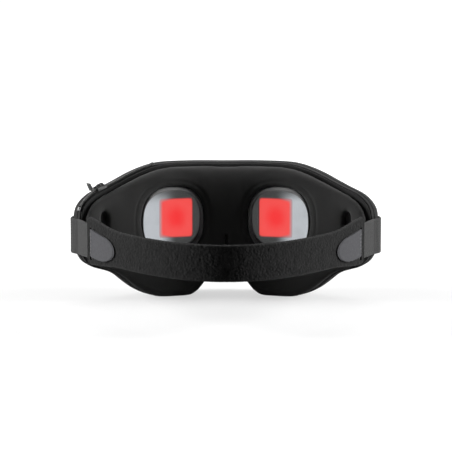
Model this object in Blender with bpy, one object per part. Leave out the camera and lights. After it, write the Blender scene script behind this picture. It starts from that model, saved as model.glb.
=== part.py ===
"""Eye massager mask: a curved, zipped eye mask with light panels, vibration motors and a head strap.

The mask is drawn flat and then bent round the face. Flat places are (u, w, v) in millimetres:
u runs along the bend from the nose to a temple, w outward from the wearer's face, v upward.
Wearer's side is -Y, front is +Y, the lower lobes stand on z = 0.
"""
import math

import bmesh
import bpy
import numpy as np
from mathutils import Matrix, Vector

MM = 0.001

# ---- driving dimensions, in millimetres ----
BEND_RADIUS = 150.0        # plan radius of the mask's middle surface
PAD_HEIGHT = 93.6
SHELL_GROWTH = 1.6         # how far the shell stands out past the pad above the lobes
TEMPLE_GROWTH = 1.4        # and how much further at the temples
TAPER = 0.42               # how much thinner the mask is at its temples
TAPER_FROM = 45.0
TEMPLE_U = 112.0
TEMPLE_EDGE_U = 111.5      # pad's edge at the temple, where the webbing passes
GAP = 0.35                 # clearance between neighbouring pieces
LOOP_POINTS = 80           # points round the mask's outline
CUT_STEP = 12.0            # spacing of the lines along which flat pieces are bent

PAD_FACE_W = -14.0         # wearer's side of the face pad
PAD_BACK_W = -5.5
COVER_RIM_W = -3.0
COVER_FRONT_W = 16.5
COVER_WALL = 2.2
SLIDER_MARK = 45.0         # the zip slider's place along the seam
PULL_LIFT = -6.0           # degrees that the zip pull turns off the teeth at rest
PIN_RISE = 3.4             # the pull's pin, above the cover's wall

EYE_U = 41.8               # middle of an eye opening
EYE_V = 55.5
EYE_POWER = 2.25           # squareness of the eye openings
LIGHT_U = 35.4             # middle of a light window
LIGHT_SIZE = (23.4, 28.6)
SCREW_V = 18.0             # light board's screws, above and below its middle
PLUG_U, PLUG_V = 5.0, -9.0  # light board's plug, from its middle
MOTOR_U = 70.0

POD_V = 58.0               # control pod on the front
POD_HALF = (21.0, 17.0)
POD_BACK_W = 17.0
POD_FRONT_W = 22.3
BUTTON_TOP_W = 23.4
POWER_V = 66.3
MODE_V = 53.0
STATUS_U, STATUS_V = 13.0, 61.0

STRAP_MIDDLE_Y = -150.0    # strap's middle, measured from the mask's middle surface
STRAP_CURVE = 0.0095       # the strap hangs in y = middle + curve * x * x
STRAP_END_X = 94.8
STRAP_THICK = 2.2
STRAP_Z = (37.2, 61.9)
STRAP_END_Z = (33.5, 67.0)
SLOT_Z = (36.8, 59.7)
SLOT_S = (4.4, 8.4)        # slot, measured from the strap's tip
WEB_THICK = 1.5
WEB_Z = (36.0, 61.0)
WEB_SLOT_Z = (37.4, 59.0)  # the webbing bunches where it passes the strap's slot
WEB_MIDDLE_Z = 48.5
SWING_Y = -56.0            # strap's swing axis, from the mask's middle surface
SWING_RADIUS = 13.3
TAB_Z = (39.9, 59.2)       # hook tab's straight edge
TAB_NOSE_Z = (38.8, 56.7)
TAB_LENGTH = 31.5
TAB_AXIS_N = 2.2           # hook tab's hinge line, outward of the strap's middle

FRONT_Y = BUTTON_TOP_W
BACK_Y = STRAP_MIDDLE_Y - STRAP_THICK / 2
MASK_Y = -(FRONT_Y + BACK_Y) / 2      # puts the whole model's middle at y = 0

# Right half of the outline from the middle of the top edge, round the temple and the lobe,
# to the middle of the nose notch, as (u, v).
OUTLINE = (
    (0, 95.0), (22, 95.3), (42, 95.2), (51, 94.2), (60, 91.8), (69, 88.6), (78, 84.8), (87, 81.3),
    (97, 77.4), (103, 74.0), (108, 69.2), (110.8, 63), (111.6, 54), (111.4, 44), (110, 36.5),
    (106.4, 30.2), (100, 25.8), (92, 22.8), (86, 20.5), (81, 17.4), (76.5, 13.6), (72, 9.8),
    (67, 6.4), (61, 3.2), (55, 1.0), (48, 0), (38, 0), (30, 0), (25, 1.2), (20.5, 4.4), (16.5, 9),
    (13, 14.5), (9, 20), (4, 23.6), (0, 24.4),
)

# ---- materials: colour, roughness, metallic ----
FINISHES = {
    "knit": ((0.016, 0.016, 0.018), 0.85, 0.0),
    "shell_cloth": ((0.022, 0.022, 0.024), 0.75, 0.0),
    "zip_tape": ((0.010, 0.010, 0.011), 0.9, 0.0),
    "dark_metal": ((0.045, 0.045, 0.05), 0.35, 1.0),
    "strap_pile": ((0.014, 0.014, 0.015), 0.95, 0.0),
    "grey_webbing": ((0.085, 0.085, 0.088), 0.8, 0.0),
    "hook_grey": ((0.13, 0.13, 0.14), 0.7, 0.0),
    "black_plastic": ((0.012, 0.012, 0.013), 0.45, 0.0),
    "lens": ((0.55, 0.56, 0.58), 0.25, 0.0),
    "reflector": ((0.62, 0.63, 0.64), 0.4, 0.0),
    "red_light": ((0.9, 0.06, 0.05), 0.4, 0.0),
    "white_light": ((0.8, 0.85, 0.9), 0.4, 0.0),
    "circuit_board": ((0.01, 0.09, 0.04), 0.5, 0.0),
    "battery_foil": ((0.5, 0.5, 0.52), 0.4, 1.0),
    "ribbon_cable": ((0.35, 0.2, 0.05), 0.5, 0.0),
    "bright_metal": ((0.6, 0.6, 0.6), 0.3, 1.0),
    "chassis_plastic": ((0.05, 0.05, 0.055), 0.6, 0.0),
}


def clear_scene():
    for old in list(bpy.data.objects):
        bpy.data.objects.remove(old, do_unlink=True)


def finish(name):
    """The named material, made once."""
    made = bpy.data.materials.get(name)
    if made:
        return made
    colour, roughness, metallic = FINISHES[name]
    made = bpy.data.materials.new(name)
    made.use_nodes = True
    shader = made.node_tree.nodes["Principled BSDF"]
    shader.inputs["Base Color"].default_value = (*colour, 1.0)
    shader.inputs["Roughness"].default_value = roughness
    shader.inputs["Metallic"].default_value = metallic
    return made


# ---- places: maps from flat millimetres to the mask's own frame in metres ----
def ease(t):
    """A smooth step from 0 to 1."""
    t = np.clip(t, 0.0, 1.0)
    return t * t * (3.0 - 2.0 * t)


def taper_at(u):
    return 1.0 - TAPER * ease((np.abs(u) - TAPER_FROM) / (TEMPLE_U - TAPER_FROM))


def bend(flat):
    """Wrap flat (u, w, v) round the vertical cylinder of the mask, in metres."""
    u, w, v = np.asarray(flat, dtype=float).T
    radius = BEND_RADIUS + w * taper_at(u)
    turn = u / BEND_RADIUS
    y = radius * np.cos(turn) - BEND_RADIUS + MASK_Y
    return np.stack([radius * np.sin(turn), y, v], axis=1) * MM


def bend_cover(flat):
    """The same bend with the front face swollen a little over each eye."""
    flat = np.array(flat, dtype=float)
    u, w, v = flat.T
    swell = np.exp(-(((np.abs(u) - 56.0) / 22.0) ** 2) - ((v - 50.0) / 30.0) ** 2)
    near_front = np.clip((w - 7.0) / 6.0, 0.0, 1.0)
    flat[:, 1] = w + 2.6 * swell * near_front
    return bend(flat)


def rigid(u, v, w):
    """A flat stiff piece set on the bend at (u, v), its own (x, w, z) measured from there."""
    turn = u / BEND_RADIUS
    place = Vector(bend([(u, w, v)])[0])
    frame = Matrix.Translation(place) @ Matrix.Rotation(-turn, 4, "Z")

    def put(flat):
        return np.array([frame @ (Vector(point) * MM) for point in flat])

    return put


def mirrored(put):
    """The same place on the left side."""
    return lambda flat: put(flat) * (-1.0, 1.0, 1.0)


class PlanPath:
    """A band standing on a plan curve: its (s, n, z) is length, outward offset and height."""

    def __init__(self, points, outward):
        self.points = np.asarray(points, dtype=float)
        steps = np.linalg.norm(np.diff(self.points, axis=0), axis=1)
        self.lengths = np.concatenate([[0.0], np.cumsum(steps)])
        self.total = self.lengths[-1]
        self.outward = outward

    def at(self, s):
        return np.stack([np.interp(s, self.lengths, self.points[:, k]) for k in (0, 1)], axis=-1)

    def side(self, s):
        ahead = self.at(np.minimum(s + 0.6, self.total)) - self.at(np.maximum(s - 0.6, 0.0))
        ahead /= np.linalg.norm(ahead, axis=-1, keepdims=True)
        return np.stack([-ahead[..., 1], ahead[..., 0]], axis=-1) * self.outward

    def __call__(self, flat):
        s, n, z = np.asarray(flat, dtype=float).T
        plan = self.at(s) + self.side(s) * n[:, None]
        return np.stack([plan[:, 0], plan[:, 1] + MASK_Y, z], axis=1) * MM


# ---- outlines ----
def smooth(points, per, closed):
    """A Catmull-Rom curve through the points, with `per` steps in each span."""
    points = np.asarray(points, dtype=float)
    count = len(points)
    spans = count if closed else count - 1
    curve = []
    for k in range(spans):
        if closed:
            a, b, c, d = (points[(k + j) % count] for j in (-1, 0, 1, 2))
        else:
            a, b, c, d = (points[min(max(k + j, 0), count - 1)] for j in (-1, 0, 1, 2))
        for t in np.arange(per) / per:
            curve.append(0.5 * (2 * b + (c - a) * t + (2 * a - 5 * b + 4 * c - d) * t ** 2
                                + (3 * b - a - 3 * c + d) * t ** 3))
    if not closed:
        curve.append(points[-1])
    return np.array(curve)


def evenly(curve, count):
    """Points at equal steps round a closed curve."""
    ring = np.vstack([curve, curve[:1]])
    lengths = np.concatenate([[0.0], np.cumsum(np.linalg.norm(np.diff(ring, axis=0), axis=1))])
    wanted = np.arange(count) * lengths[-1] / count
    return np.stack([np.interp(wanted, lengths, ring[:, k]) for k in (0, 1)], axis=1)


def outward_normals(loop):
    """Outward normals of a clockwise loop."""
    along = np.roll(loop, -1, axis=0) - np.roll(loop, 1, axis=0)
    along /= np.linalg.norm(along, axis=1, keepdims=True)
    return np.stack([-along[:, 1], along[:, 0]], axis=1)


def half_outline():
    """The outline's points, brought to the pad's height."""
    scale = PAD_HEIGHT / max(v for _, v in OUTLINE)
    return [(float(u), v * scale) for u, v in OUTLINE]


def mask_loop():
    right = half_outline()
    left = [(-u, v) for u, v in reversed(right[1:-1])]
    loop = evenly(smooth(right + left, 6, True), LOOP_POINTS)
    loop[:, 1] = np.maximum(loop[:, 1], 0.0)
    return loop


def growth(u, v):
    """How far the shell's outline stands out past the pad's: nothing at the lobes, most at the temples."""
    above = ease((v - 20.0) / 25.0)
    aside = ease((np.abs(u) - 85.0) / 25.0) * ease((v - 56.0) / 12.0)
    return SHELL_GROWTH * above + TEMPLE_GROWTH * aside


def grown(loop):
    """The shell's outline from the pad's."""
    return loop + outward_normals(loop) * growth(*loop.T)[:, None]


def inset(loop, depth):
    """The loop moved inward by depth, eased a little where the inset is deep."""
    moved = loop - outward_normals(loop) * depth
    for _ in range(int(depth / 2.5) - 1):
        moved = 0.5 * moved + 0.25 * (np.roll(moved, 1, axis=0) + np.roll(moved, -1, axis=0))
    return moved


def oval(u, v, half_u, half_v, power=2.0, count=28):
    turn = np.arange(count) * 2 * math.pi / count
    c, s = np.cos(turn), np.sin(turn)
    return np.stack([u + half_u * np.sign(c) * np.abs(c) ** (2 / power),
                     v + half_v * np.sign(s) * np.abs(s) ** (2 / power)], axis=1)


def eye_oval(side, half_u):
    """A squared oval about an eye's middle, a little wider than it is tall."""
    return oval(EYE_U * side, EYE_V, half_u, half_u - 1.2, EYE_POWER)


def rounded_box(u, v, half_u, half_v, corner, steps=4):
    points = []
    for k, (su, sv) in enumerate(((1, 1), (-1, 1), (-1, -1), (1, -1))):
        for j in range(steps + 1):
            turn = (k + j / steps) * math.pi / 2
            points.append((u + su * (half_u - corner) + corner * math.cos(turn),
                           v + sv * (half_v - corner) + corner * math.sin(turn)))
    return np.array(points)


# ---- solids ----
def fill(bm, rings):
    """Close a flat region bounded by an outer ring and any inner rings."""
    edges = []
    for ring in rings:
        for a, b in zip(ring, ring[1:] + ring[:1]):
            edges.append(bm.edges.get((a, b)) or bm.edges.new((a, b)))
    if len(rings) == 1:
        bm.faces.new(rings[0])
        return
    bmesh.ops.triangle_fill(bm, use_beauty=True, use_dissolve=False, edges=edges)


def solid(walls, holes=(), cuts_u=(), cuts_v=()):
    """A closed body in flat (u, w, v).

    walls is a chain of (outline, w) from one flat end to the other; each hole is a chain
    that runs between the same two ends. Cuts are extra edge lines for a later bend.
    """
    bm = bmesh.new()
    ends = ([], [])
    for chain in (walls, *holes):
        rings = [[bm.verts.new((u, w, v)) for u, v in loop] for loop, w in chain]
        for low, high in zip(rings, rings[1:]):
            for k in range(len(low)):
                j = (k + 1) % len(low)
                bm.faces.new((low[k], low[j], high[j], high[k]))
        ends[0].append(rings[0])
        ends[1].append(rings[-1])
    for end in ends:
        fill(bm, end)
    for axis, lines in (((1, 0, 0), cuts_u), ((0, 0, 1), cuts_v)):
        for line in lines:
            whole = bm.verts[:] + bm.edges[:] + bm.faces[:]
            bmesh.ops.bisect_plane(bm, geom=whole, dist=1e-4, plane_co=Vector(axis) * line,
                                   plane_no=axis)
    bmesh.ops.triangulate(bm, faces=[face for face in bm.faces if len(face.verts) > 4])
    return bm


def plate(outline, low, high, holes=()):
    """A flat plate from w = low to w = high with straight holes through it: (walls, holes) for solid."""
    return [(outline, low), (outline, high)], [[(hole, low), (hole, high)] for hole in holes]


def disc(radius, count=12):
    return oval(0, 0, radius, radius, count=count)


def make(name, bm, put, material, pivot=None, smooth_angle=None):
    """Place a flat body, make its object, and hang it on its pivot empty if it moves."""
    placed = put(np.array([vert.co for vert in bm.verts]))
    for vert, co in zip(bm.verts, placed):
        vert.co = co
    bmesh.ops.recalc_face_normals(bm, faces=bm.faces)
    if bm.calc_volume(signed=True) < 0:
        bmesh.ops.reverse_faces(bm, faces=bm.faces)
    mesh = bpy.data.meshes.new(name)
    bm.to_mesh(mesh)
    bm.free()
    mesh.materials.append(finish(material))
    thing = bpy.data.objects.new(name, mesh)
    bpy.context.scene.collection.objects.link(thing)
    if pivot:
        mesh.transform(Matrix.Translation(-pivot.location))
        thing.parent = pivot
    if smooth_angle:
        mesh.shade_smooth()
        mesh.set_sharp_from_angle(angle=math.radians(smooth_angle))
    return thing


def pivot_at(name, place):
    empty = bpy.data.objects.new(name, None)
    empty.location = place
    empty.empty_display_size = 0.01
    bpy.context.scene.collection.objects.link(empty)
    return empty


def boolean(thing, other, operation):
    """Join or cut with another object, which stays out of the model."""
    modifier = thing.modifiers.new(operation.lower(), "BOOLEAN")
    modifier.operation = operation
    modifier.object = other
    other.hide_render = True
    other.display_type = "WIRE"


def bend_lines(low=-TEMPLE_U, high=TEMPLE_U, step=CUT_STEP):
    return [line for line in np.arange(-120.0, 121.0, step) if low < line < high]


SIDES = (("left", -1.0), ("right", 1.0))
RIM = mask_loop()
SHELL_RIM = grown(RIM)
MASK_LINES = bend_lines()


# ---- the soft shell ----
def front_cover():
    inner_front = COVER_FRONT_W - COVER_WALL
    profile = [(7.5, COVER_FRONT_W), (4.6, 15.5), (2.0, 13.0), (0.5, 9.6), (0.0, 6.0), (0.0, COVER_RIM_W),
               (COVER_WALL, COVER_RIM_W), (COVER_WALL, 6.0), (2.7, 9.0), (4.0, 11.6), (6.2, 13.6),
               (9.0, inner_front)]
    walls = [(inset(SHELL_RIM, depth), w) for depth, w in profile]
    lead_hole = oval(0, 46.5, 3.6, 3.6, count=16)
    hole = [(lead_hole, COVER_FRONT_W), (lead_hole, inner_front)]
    body = solid(walls, [hole], MASK_LINES, (36.0, 64.0))
    make("front_cover", body, bend_cover, "shell_cloth", smooth_angle=40)


def face_pad():
    walls = [(inset(RIM, 0.8), PAD_BACK_W), (inset(RIM, 0.0), -7.2), (inset(RIM, 0.0), -10.6),
             (inset(RIM, 0.8), -12.6), (inset(RIM, 2.4), -13.7), (inset(RIM, 5.0), PAD_FACE_W)]
    holes = []
    for _, side in SIDES:
        opening = eye_oval(side, 24.8)
        holes.append([(opening, PAD_BACK_W), (opening, -12.8), (eye_oval(side, 25.9), PAD_FACE_W)])
        slot = rounded_box(95.8 * side, 51.5, 2.9, 13.6, 2.5, 3)
        holes.append([(slot, PAD_BACK_W), (slot, PAD_FACE_W)])
    crease = rounded_box(0, 37.2, 0.6, 8.2, 0.5, 2)
    holes.append([(crease, PAD_BACK_W), (crease, PAD_FACE_W)])
    make("face_pad", solid(walls, holes, MASK_LINES), bend, "knit", smooth_angle=40)


def zip_line():
    """The seam between the cover and the pad: tape all round, teeth and stops by the left temple."""
    outer, inner = inset(SHELL_RIM, 0.7)[::2], inset(RIM, 5.5)[::2]
    make("zip_tape", solid(*plate(outer, -3.4, -5.1, [inner]), MASK_LINES), bend, "zip_tape")

    spine = smooth([(-u, v) for u, v in half_outline()[3:14]], 14, False)
    lengths = np.concatenate([[0.0], np.cumsum(np.linalg.norm(np.diff(spine, axis=0), axis=1))])
    ahead = np.gradient(spine, lengths, axis=0)
    out = np.stack([ahead[:, 1], -ahead[:, 0]], axis=1)
    spine = spine + out * growth(*spine.T)[:, None]
    lengths = np.concatenate([[0.0], np.cumsum(np.linalg.norm(np.diff(spine, axis=0), axis=1))])

    def beside(length, rise):
        """Points at a length along the seam, raised off the cover's wall."""
        raised = spine + out * rise
        return np.stack([np.interp(length, lengths, raised[:, k]) for k in (0, 1)], axis=-1)

    pitch = 1.6
    teeth_end = 65.5
    marks = np.arange(4.0, teeth_end, pitch / 2)
    rises = np.where(np.arange(len(marks)) % 2 == 0, 1.6, 1.0)
    crest = np.array([beside(mark, rise) for mark, rise in zip(marks, rises)])
    under = beside(np.linspace(teeth_end, 4.0, 22), 0.4)
    row = np.vstack([crest, under])
    make("zip_teeth", solid(*plate(row, -2.5, 0.1), cuts_u=MASK_LINES), bend, "dark_metal")

    for name, start in (("zip_top_stop", 0.6), ("zip_bottom_stop", teeth_end + 0.8)):
        end = start + 2.4
        stop = np.vstack([beside(start, 0.4), beside(start, 2.1), beside(end, 2.1), beside(end, 0.4)])
        make(name, solid(*plate(stop, -2.8, 0.4)), bend, "dark_metal")
    return zip_slider(beside)


def zip_slider(beside):
    """The slider rides on the nearly straight stretch above the temple.

    Its own frame is (along the teeth, rise off the cover's wall, outward from the face).
    """
    corners = bend([(*np.insert(beside(SLIDER_MARK + step, 0.0), 1, -1.2),) for step in (-4.0, 0.0, 4.0)])
    along = Vector(corners[2] - corners[0]).normalized()
    turn = beside(SLIDER_MARK, 0.0)[0] / BEND_RADIUS
    rise = along.cross(Vector((math.sin(turn), math.cos(turn), 0))).normalized()
    if rise.z < 0:
        rise.negate()
    outward = rise.cross(along)
    if outward.y < 0:
        outward.negate()
    seat = Vector(corners[1])

    def on_seam(flat):
        return np.array([seat + (along * a + rise * b + outward * c) * MM for a, b, c in flat])

    slide = pivot_at("zip_slider_path", seat)
    channel = ((0.6, -2.7), (2.7, -2.7), (2.7, 2.7), (0.6, 2.7), (0.6, 1.95), (2.0, 1.95), (2.0, -1.95),
               (0.6, -1.95))
    body = solid(*plate(np.array(channel), -3.7, 3.7))
    for vert in body.verts:
        r, a, o = vert.co
        vert.co = (a, r, o)
    slider = make("zip_slider", body, on_seam, "dark_metal", slide)
    arch = rounded_box(0, PIN_RISE - 0.05, 2.8, 1.1, 0.9)
    hollow = rounded_box(0, PIN_RISE, 1.9, 0.6, 0.5)
    bridge_body = solid(*plate(arch, -0.8, 0.8, [hollow]))
    for vert in bridge_body.verts:
        a, o, r = vert.co
        vert.co = (a, r, o)
    boolean(slider, make("zip_slider_bridge", bridge_body, on_seam, "dark_metal", slide), "UNION")

    # The pull turns about the pin under the bridge. It lies along the teeth, and its far end turns up
    # into a wedge for the fingertips.
    pin = seat + rise * (PIN_RISE * MM)
    swing = pivot_at("zip_pull_pin", pin)
    lift = math.radians(PULL_LIFT)
    forward = along * math.cos(lift) + rise * math.sin(lift)
    thick = rise * math.cos(lift) - along * math.sin(lift)

    def on_pull(flat):
        return np.array([pin + (forward * a + outward * c + thick * t) * MM for a, c, t in flat])

    side = np.array([(-0.4, -0.3), (8.0, -0.3), (8.2, 5.6), (7.3, 5.7), (6.6, 0.3), (-0.4, 0.3)])
    pull = make("zip_pull", solid(*plate(side, -2.2, 2.2)), on_pull, "dark_metal", swing)
    window = solid(*plate(np.array([(0.5, -1.5), (4.6, -1.5), (4.6, 1.5), (0.5, 1.5)]), -1.3, 1.3))
    boolean(pull, make("pull_window", window, on_pull, "dark_metal", swing), "DIFFERENCE")
    return along, outward, seat, pin


# ---- eyes ----
def eyes():
    for name, side in SIDES:
        cup, seat, ledge = eye_oval(side, 25.9), eye_oval(side, 24.0), eye_oval(side, 22.5)
        inside = [(seat, -5.1), (seat, -1.5), (ledge, -1.5), (ledge, 1.2)]
        frame = solid([(cup, -5.1), (cup, 1.2)], [inside], MASK_LINES)
        make(f"eye_frame_{name}", frame, bend, "black_plastic", smooth_angle=40)
        lens = solid(*plate(eye_oval(side, 23.5), -3.4, -1.9), cuts_u=MASK_LINES)
        make(f"lens_{name}", lens, bend, "lens")
        half_u, half_v = (size / 2 + 0.5 for size in LIGHT_SIZE)
        window = rounded_box(LIGHT_U * side, EYE_V, half_u, half_v, 2.4)
        dish = solid(*plate(eye_oval(side, 24.6), 1.6, 2.6, [window]), MASK_LINES)
        make(f"reflector_{name}", dish, bend, "reflector")
        light_panel(name, side)


def light_panel(name, side):
    """Light window and its board, flat and square to the eye, screwed to the chassis from the front."""
    put = rigid(LIGHT_U * side, EYE_V, 0.0)
    window = rounded_box(0, 0, LIGHT_SIZE[0] / 2, LIGHT_SIZE[1] / 2, 2.0)
    make(f"light_window_{name}", solid(*plate(window, 1.1, 2.9)), put, "red_light")
    board = rounded_box(0, 0, 12.5, 20.5, 1.5, 2)
    screw_holes = [oval(0, step * SCREW_V, 1.5, 1.5, count=12) for step in (-1, 1)]
    make(f"light_board_{name}", solid(*plate(board, 3.25, 4.35, screw_holes)), put, "circuit_board")
    for number, step in enumerate((-1, 1), 1):
        screw = rigid(LIGHT_U * side, EYE_V + step * SCREW_V, 0.0)
        shank, head = disc(1.1), disc(2.2)
        body = solid([(shank, 3.4), (shank, 6.6), (head, 6.6), (head, 7.5), (disc(1.5), 8.0)])
        make(f"light_screw_{name}_{number}", body, screw, "bright_metal")
    plug = rounded_box(PLUG_U * side, PLUG_V, 4.5, 2.5, 0.6, 2)
    make(f"light_plug_{name}", solid(*plate(plug, 4.7, 8.0)), put, "white_light")


# ---- inner structure ----
def inner_panel():
    holes = [oval(EYE_U * side, EYE_V, 26.3, 25.1, EYE_POWER) for _, side in SIDES]
    panel = solid(*plate(inset(RIM, 6.2)[::2], -2.6, -1.4, holes), MASK_LINES)
    make("inner_panel", panel, bend, "chassis_plastic")


def chassis():
    holes = []
    for _, side in SIDES:
        holes.append(rounded_box((LIGHT_U + PLUG_U) * side, EYE_V + PLUG_V, 5.2, 3.1, 0.6, 2))
        holes += [oval(LIGHT_U * side, EYE_V + step * SCREW_V, 1.6, 1.6, count=12) for step in (-1, 1)]
    make("chassis", solid(*plate(inset(RIM, 6.2)[::2], 4.9, 6.1, holes), MASK_LINES), bend, "chassis_plastic")


def electronics():
    put = rigid(0.0, 60.0, 0.0)
    board = rounded_box(0, 0, 23.0, 18.0, 2.0, 2)
    make("main_board", solid(*plate(board, 6.7, 7.8)), put, "circuit_board")
    cell = rounded_box(0, 3.5, 20.5, 13.5, 2.0, 2)
    make("battery", solid(*plate(cell, 8.2, 12.2)), put, "battery_foil")
    lead = oval(0, -13.5, 3.0, 3.0, count=16)
    make("pod_lead", solid(*plate(lead, 8.2, 16.8)), put, "ribbon_cable")
    for name, side in SIDES:
        light = rounded_box(35.0 * side, EYE_V + PLUG_V, 11.0, 2.0, 0.5, 2)
        make(f"light_ribbon_{name}", solid(*plate(light, 8.7, 9.1), cuts_u=MASK_LINES), bend, "ribbon_cable")
        motor = rounded_box(43.2 * side, 64.5, 18.8, 1.6, 0.5, 2)
        make(f"motor_ribbon_{name}", solid(*plate(motor, 8.4, 8.8), cuts_u=MASK_LINES), bend, "ribbon_cable")


def vibration_motor(name, side):
    """A coin motor: cup, lid, fixed pin and the half-disc weight that spins on it."""
    put = rigid(MOTOR_U * side, 62.0, 6.7)
    outer, inner = disc(6.0, 24), disc(5.2, 24)
    cup = solid([(outer, 0.0), (outer, 3.6), (inner, 3.6), (inner, 0.6)])
    make(f"motor_cup_{name}", cup, put, "bright_metal")
    make(f"motor_lid_{name}", solid(*plate(outer, 3.95, 4.6)), put, "bright_metal")
    make(f"motor_pin_{name}", solid(*plate(disc(0.6, 8), 0.95, 3.6)), put, "bright_metal")
    arcs = ((1.7, np.linspace(0, math.pi, 9)), (4.7, np.linspace(math.pi, 2 * math.pi, 15)))
    half = np.vstack([np.stack([reach * np.cos(t), reach * np.sin(t)], axis=1) for reach, t in arcs])
    spin = pivot_at(f"motor_axis_{name}", Vector(put([(0, 2.3, 0)])[0]))
    make(f"motor_weight_{name}", solid(*plate(half, 1.3, 3.2, [disc(0.95)])), put, "dark_metal", spin)
    return spin.location.copy()


# ---- control pod ----
def pod_housing():
    half_u, half_v = POD_HALF
    outer = rounded_box(0, POD_V, half_u, half_v, 8.0, 5)
    crown = rounded_box(0, POD_V, half_u - 1.6, half_v - 1.6, 6.6, 5)
    inner = rounded_box(0, POD_V, half_u - 1.5, half_v - 1.5, 6.5, 5)
    wall = POD_FRONT_W - 1.3
    holes = [oval(0, POWER_V, 5.4, 5.4, count=20), oval(0, MODE_V, 5.4, 5.4, count=20),
             oval(STATUS_U, STATUS_V, 1.5, 1.5, count=12)]
    walls = [(crown, POD_FRONT_W), (outer, POD_FRONT_W - 1.2), (outer, POD_BACK_W), (inner, POD_BACK_W),
             (inner, wall)]
    body = solid(walls, [[(hole, POD_FRONT_W), (hole, wall)] for hole in holes], bend_lines(-20, 20, 8.0))
    pod = make("pod_housing", body, bend, "black_plastic", smooth_angle=35)
    port_cut = solid(*plate(rounded_box(0, -half_v, 5.0, 4.0, 0.5, 2), 18.1, 21.2))
    boolean(pod, make("port_cut", port_cut, rigid(0.0, POD_V, 0.0), "black_plastic"), "DIFFERENCE")


def control_pod():
    pod_housing()
    put = rigid(0.0, POD_V, 0.0)
    board = rounded_box(0, 0, 17.0, 15.0, 5.5, 3)
    make("switch_board", solid(*plate(board, 17.2, 18.2)), put, "circuit_board")
    pivots = []
    for name, v in (("power", POWER_V), ("mode", MODE_V)):
        seat = rigid(0.0, v, 0.0)
        dome = solid([(disc(2.6, 16), 18.5), (disc(1.4, 16), 19.05)])
        make(f"{name}_switch_dome", dome, seat, "bright_metal")
        flange, stem, crown = disc(5.9, 20), disc(4.95, 20), disc(4.5, 20)
        cap = solid([(flange, 20.0), (flange, 20.6), (stem, 20.6), (stem, BUTTON_TOP_W - 0.5),
                     (crown, BUTTON_TOP_W)])
        pivot = pivot_at(f"{name}_button_path", Vector(seat([(0, 20.3, 0)])[0]))
        make(f"{name}_button", cap, seat, "black_plastic", pivot, 35)
        pivots.append(pivot.location.copy())
    light = solid(*plate(disc(1.2), 19.3, POD_FRONT_W + 0.1))
    make("status_light", light, rigid(STATUS_U, STATUS_V, 0.0), "white_light")

    # The charging port looks down out of the pod, so its solids run along v.
    def down(flat):
        return put([(x, 19.6 + z, -16.9 + depth) for x, depth, z in flat])

    shell, hollow = rounded_box(0, 0, 4.5, 1.25, 1.1), rounded_box(0, 0, 4.15, 0.9, 0.8)
    port = solid([(shell, 6.0), (shell, 0.0), (hollow, 0.0), (hollow, 5.4)])
    make("port_shell", port, down, "bright_metal")
    tongue = rounded_box(0, 0, 3.2, 0.3, 0.2, 2)
    make("port_tongue", solid(*plate(tongue, 5.05, 0.8)), down, "black_plastic")
    return pivots


# ---- strap ----
def strap_path():
    x = np.linspace(STRAP_END_X, -STRAP_END_X, 121)
    return PlanPath(np.stack([x, STRAP_MIDDLE_Y + STRAP_CURVE * x * x], axis=1), 1.0)


def strap_edge(s, total, low, high):
    """Strap edge height: level along the middle, easing out to the broad ends."""
    return low + (high - low) * ease(1.0 - np.minimum(s, total - s) / 46.0)


def head_strap(path):
    corner = 5.0
    total = path.total
    stations = np.linspace(corner, total - corner, 27)
    top = [(s, strap_edge(s, total, STRAP_Z[1], STRAP_END_Z[1])) for s in stations]
    bottom = [(s, strap_edge(s, total, STRAP_Z[0], STRAP_END_Z[0])) for s in stations]
    low, high = STRAP_END_Z[0] + corner, STRAP_END_Z[1] - corner
    turns = np.linspace(0, math.pi / 2, 5)[1:-1]
    arc = [(corner * math.sin(t), corner * math.cos(t)) for t in turns]
    far = total - corner
    outline = top
    outline += [(far + a, high + b) for a, b in arc] + [(total, high), (total, low)]
    outline += [(far + a, low - b) for a, b in reversed(arc)] + bottom[::-1]
    outline += [(corner - a, low - b) for a, b in arc] + [(0.0, low), (0.0, high)]
    outline += [(corner - a, high + b) for a, b in reversed(arc)]
    middle, half = sum(SLOT_Z) / 2, (SLOT_Z[1] - SLOT_Z[0]) / 2
    slot_s, slot_half = sum(SLOT_S) / 2, (SLOT_S[1] - SLOT_S[0]) / 2
    slots = [rounded_box(place, middle, slot_half, half, 0.8, 2) for place in (slot_s, total - slot_s)]
    thick = STRAP_THICK / 2
    return solid(*plate(np.array(outline), -thick, thick, slots), np.arange(9.0, total - 8.0, 9.0))


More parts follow.
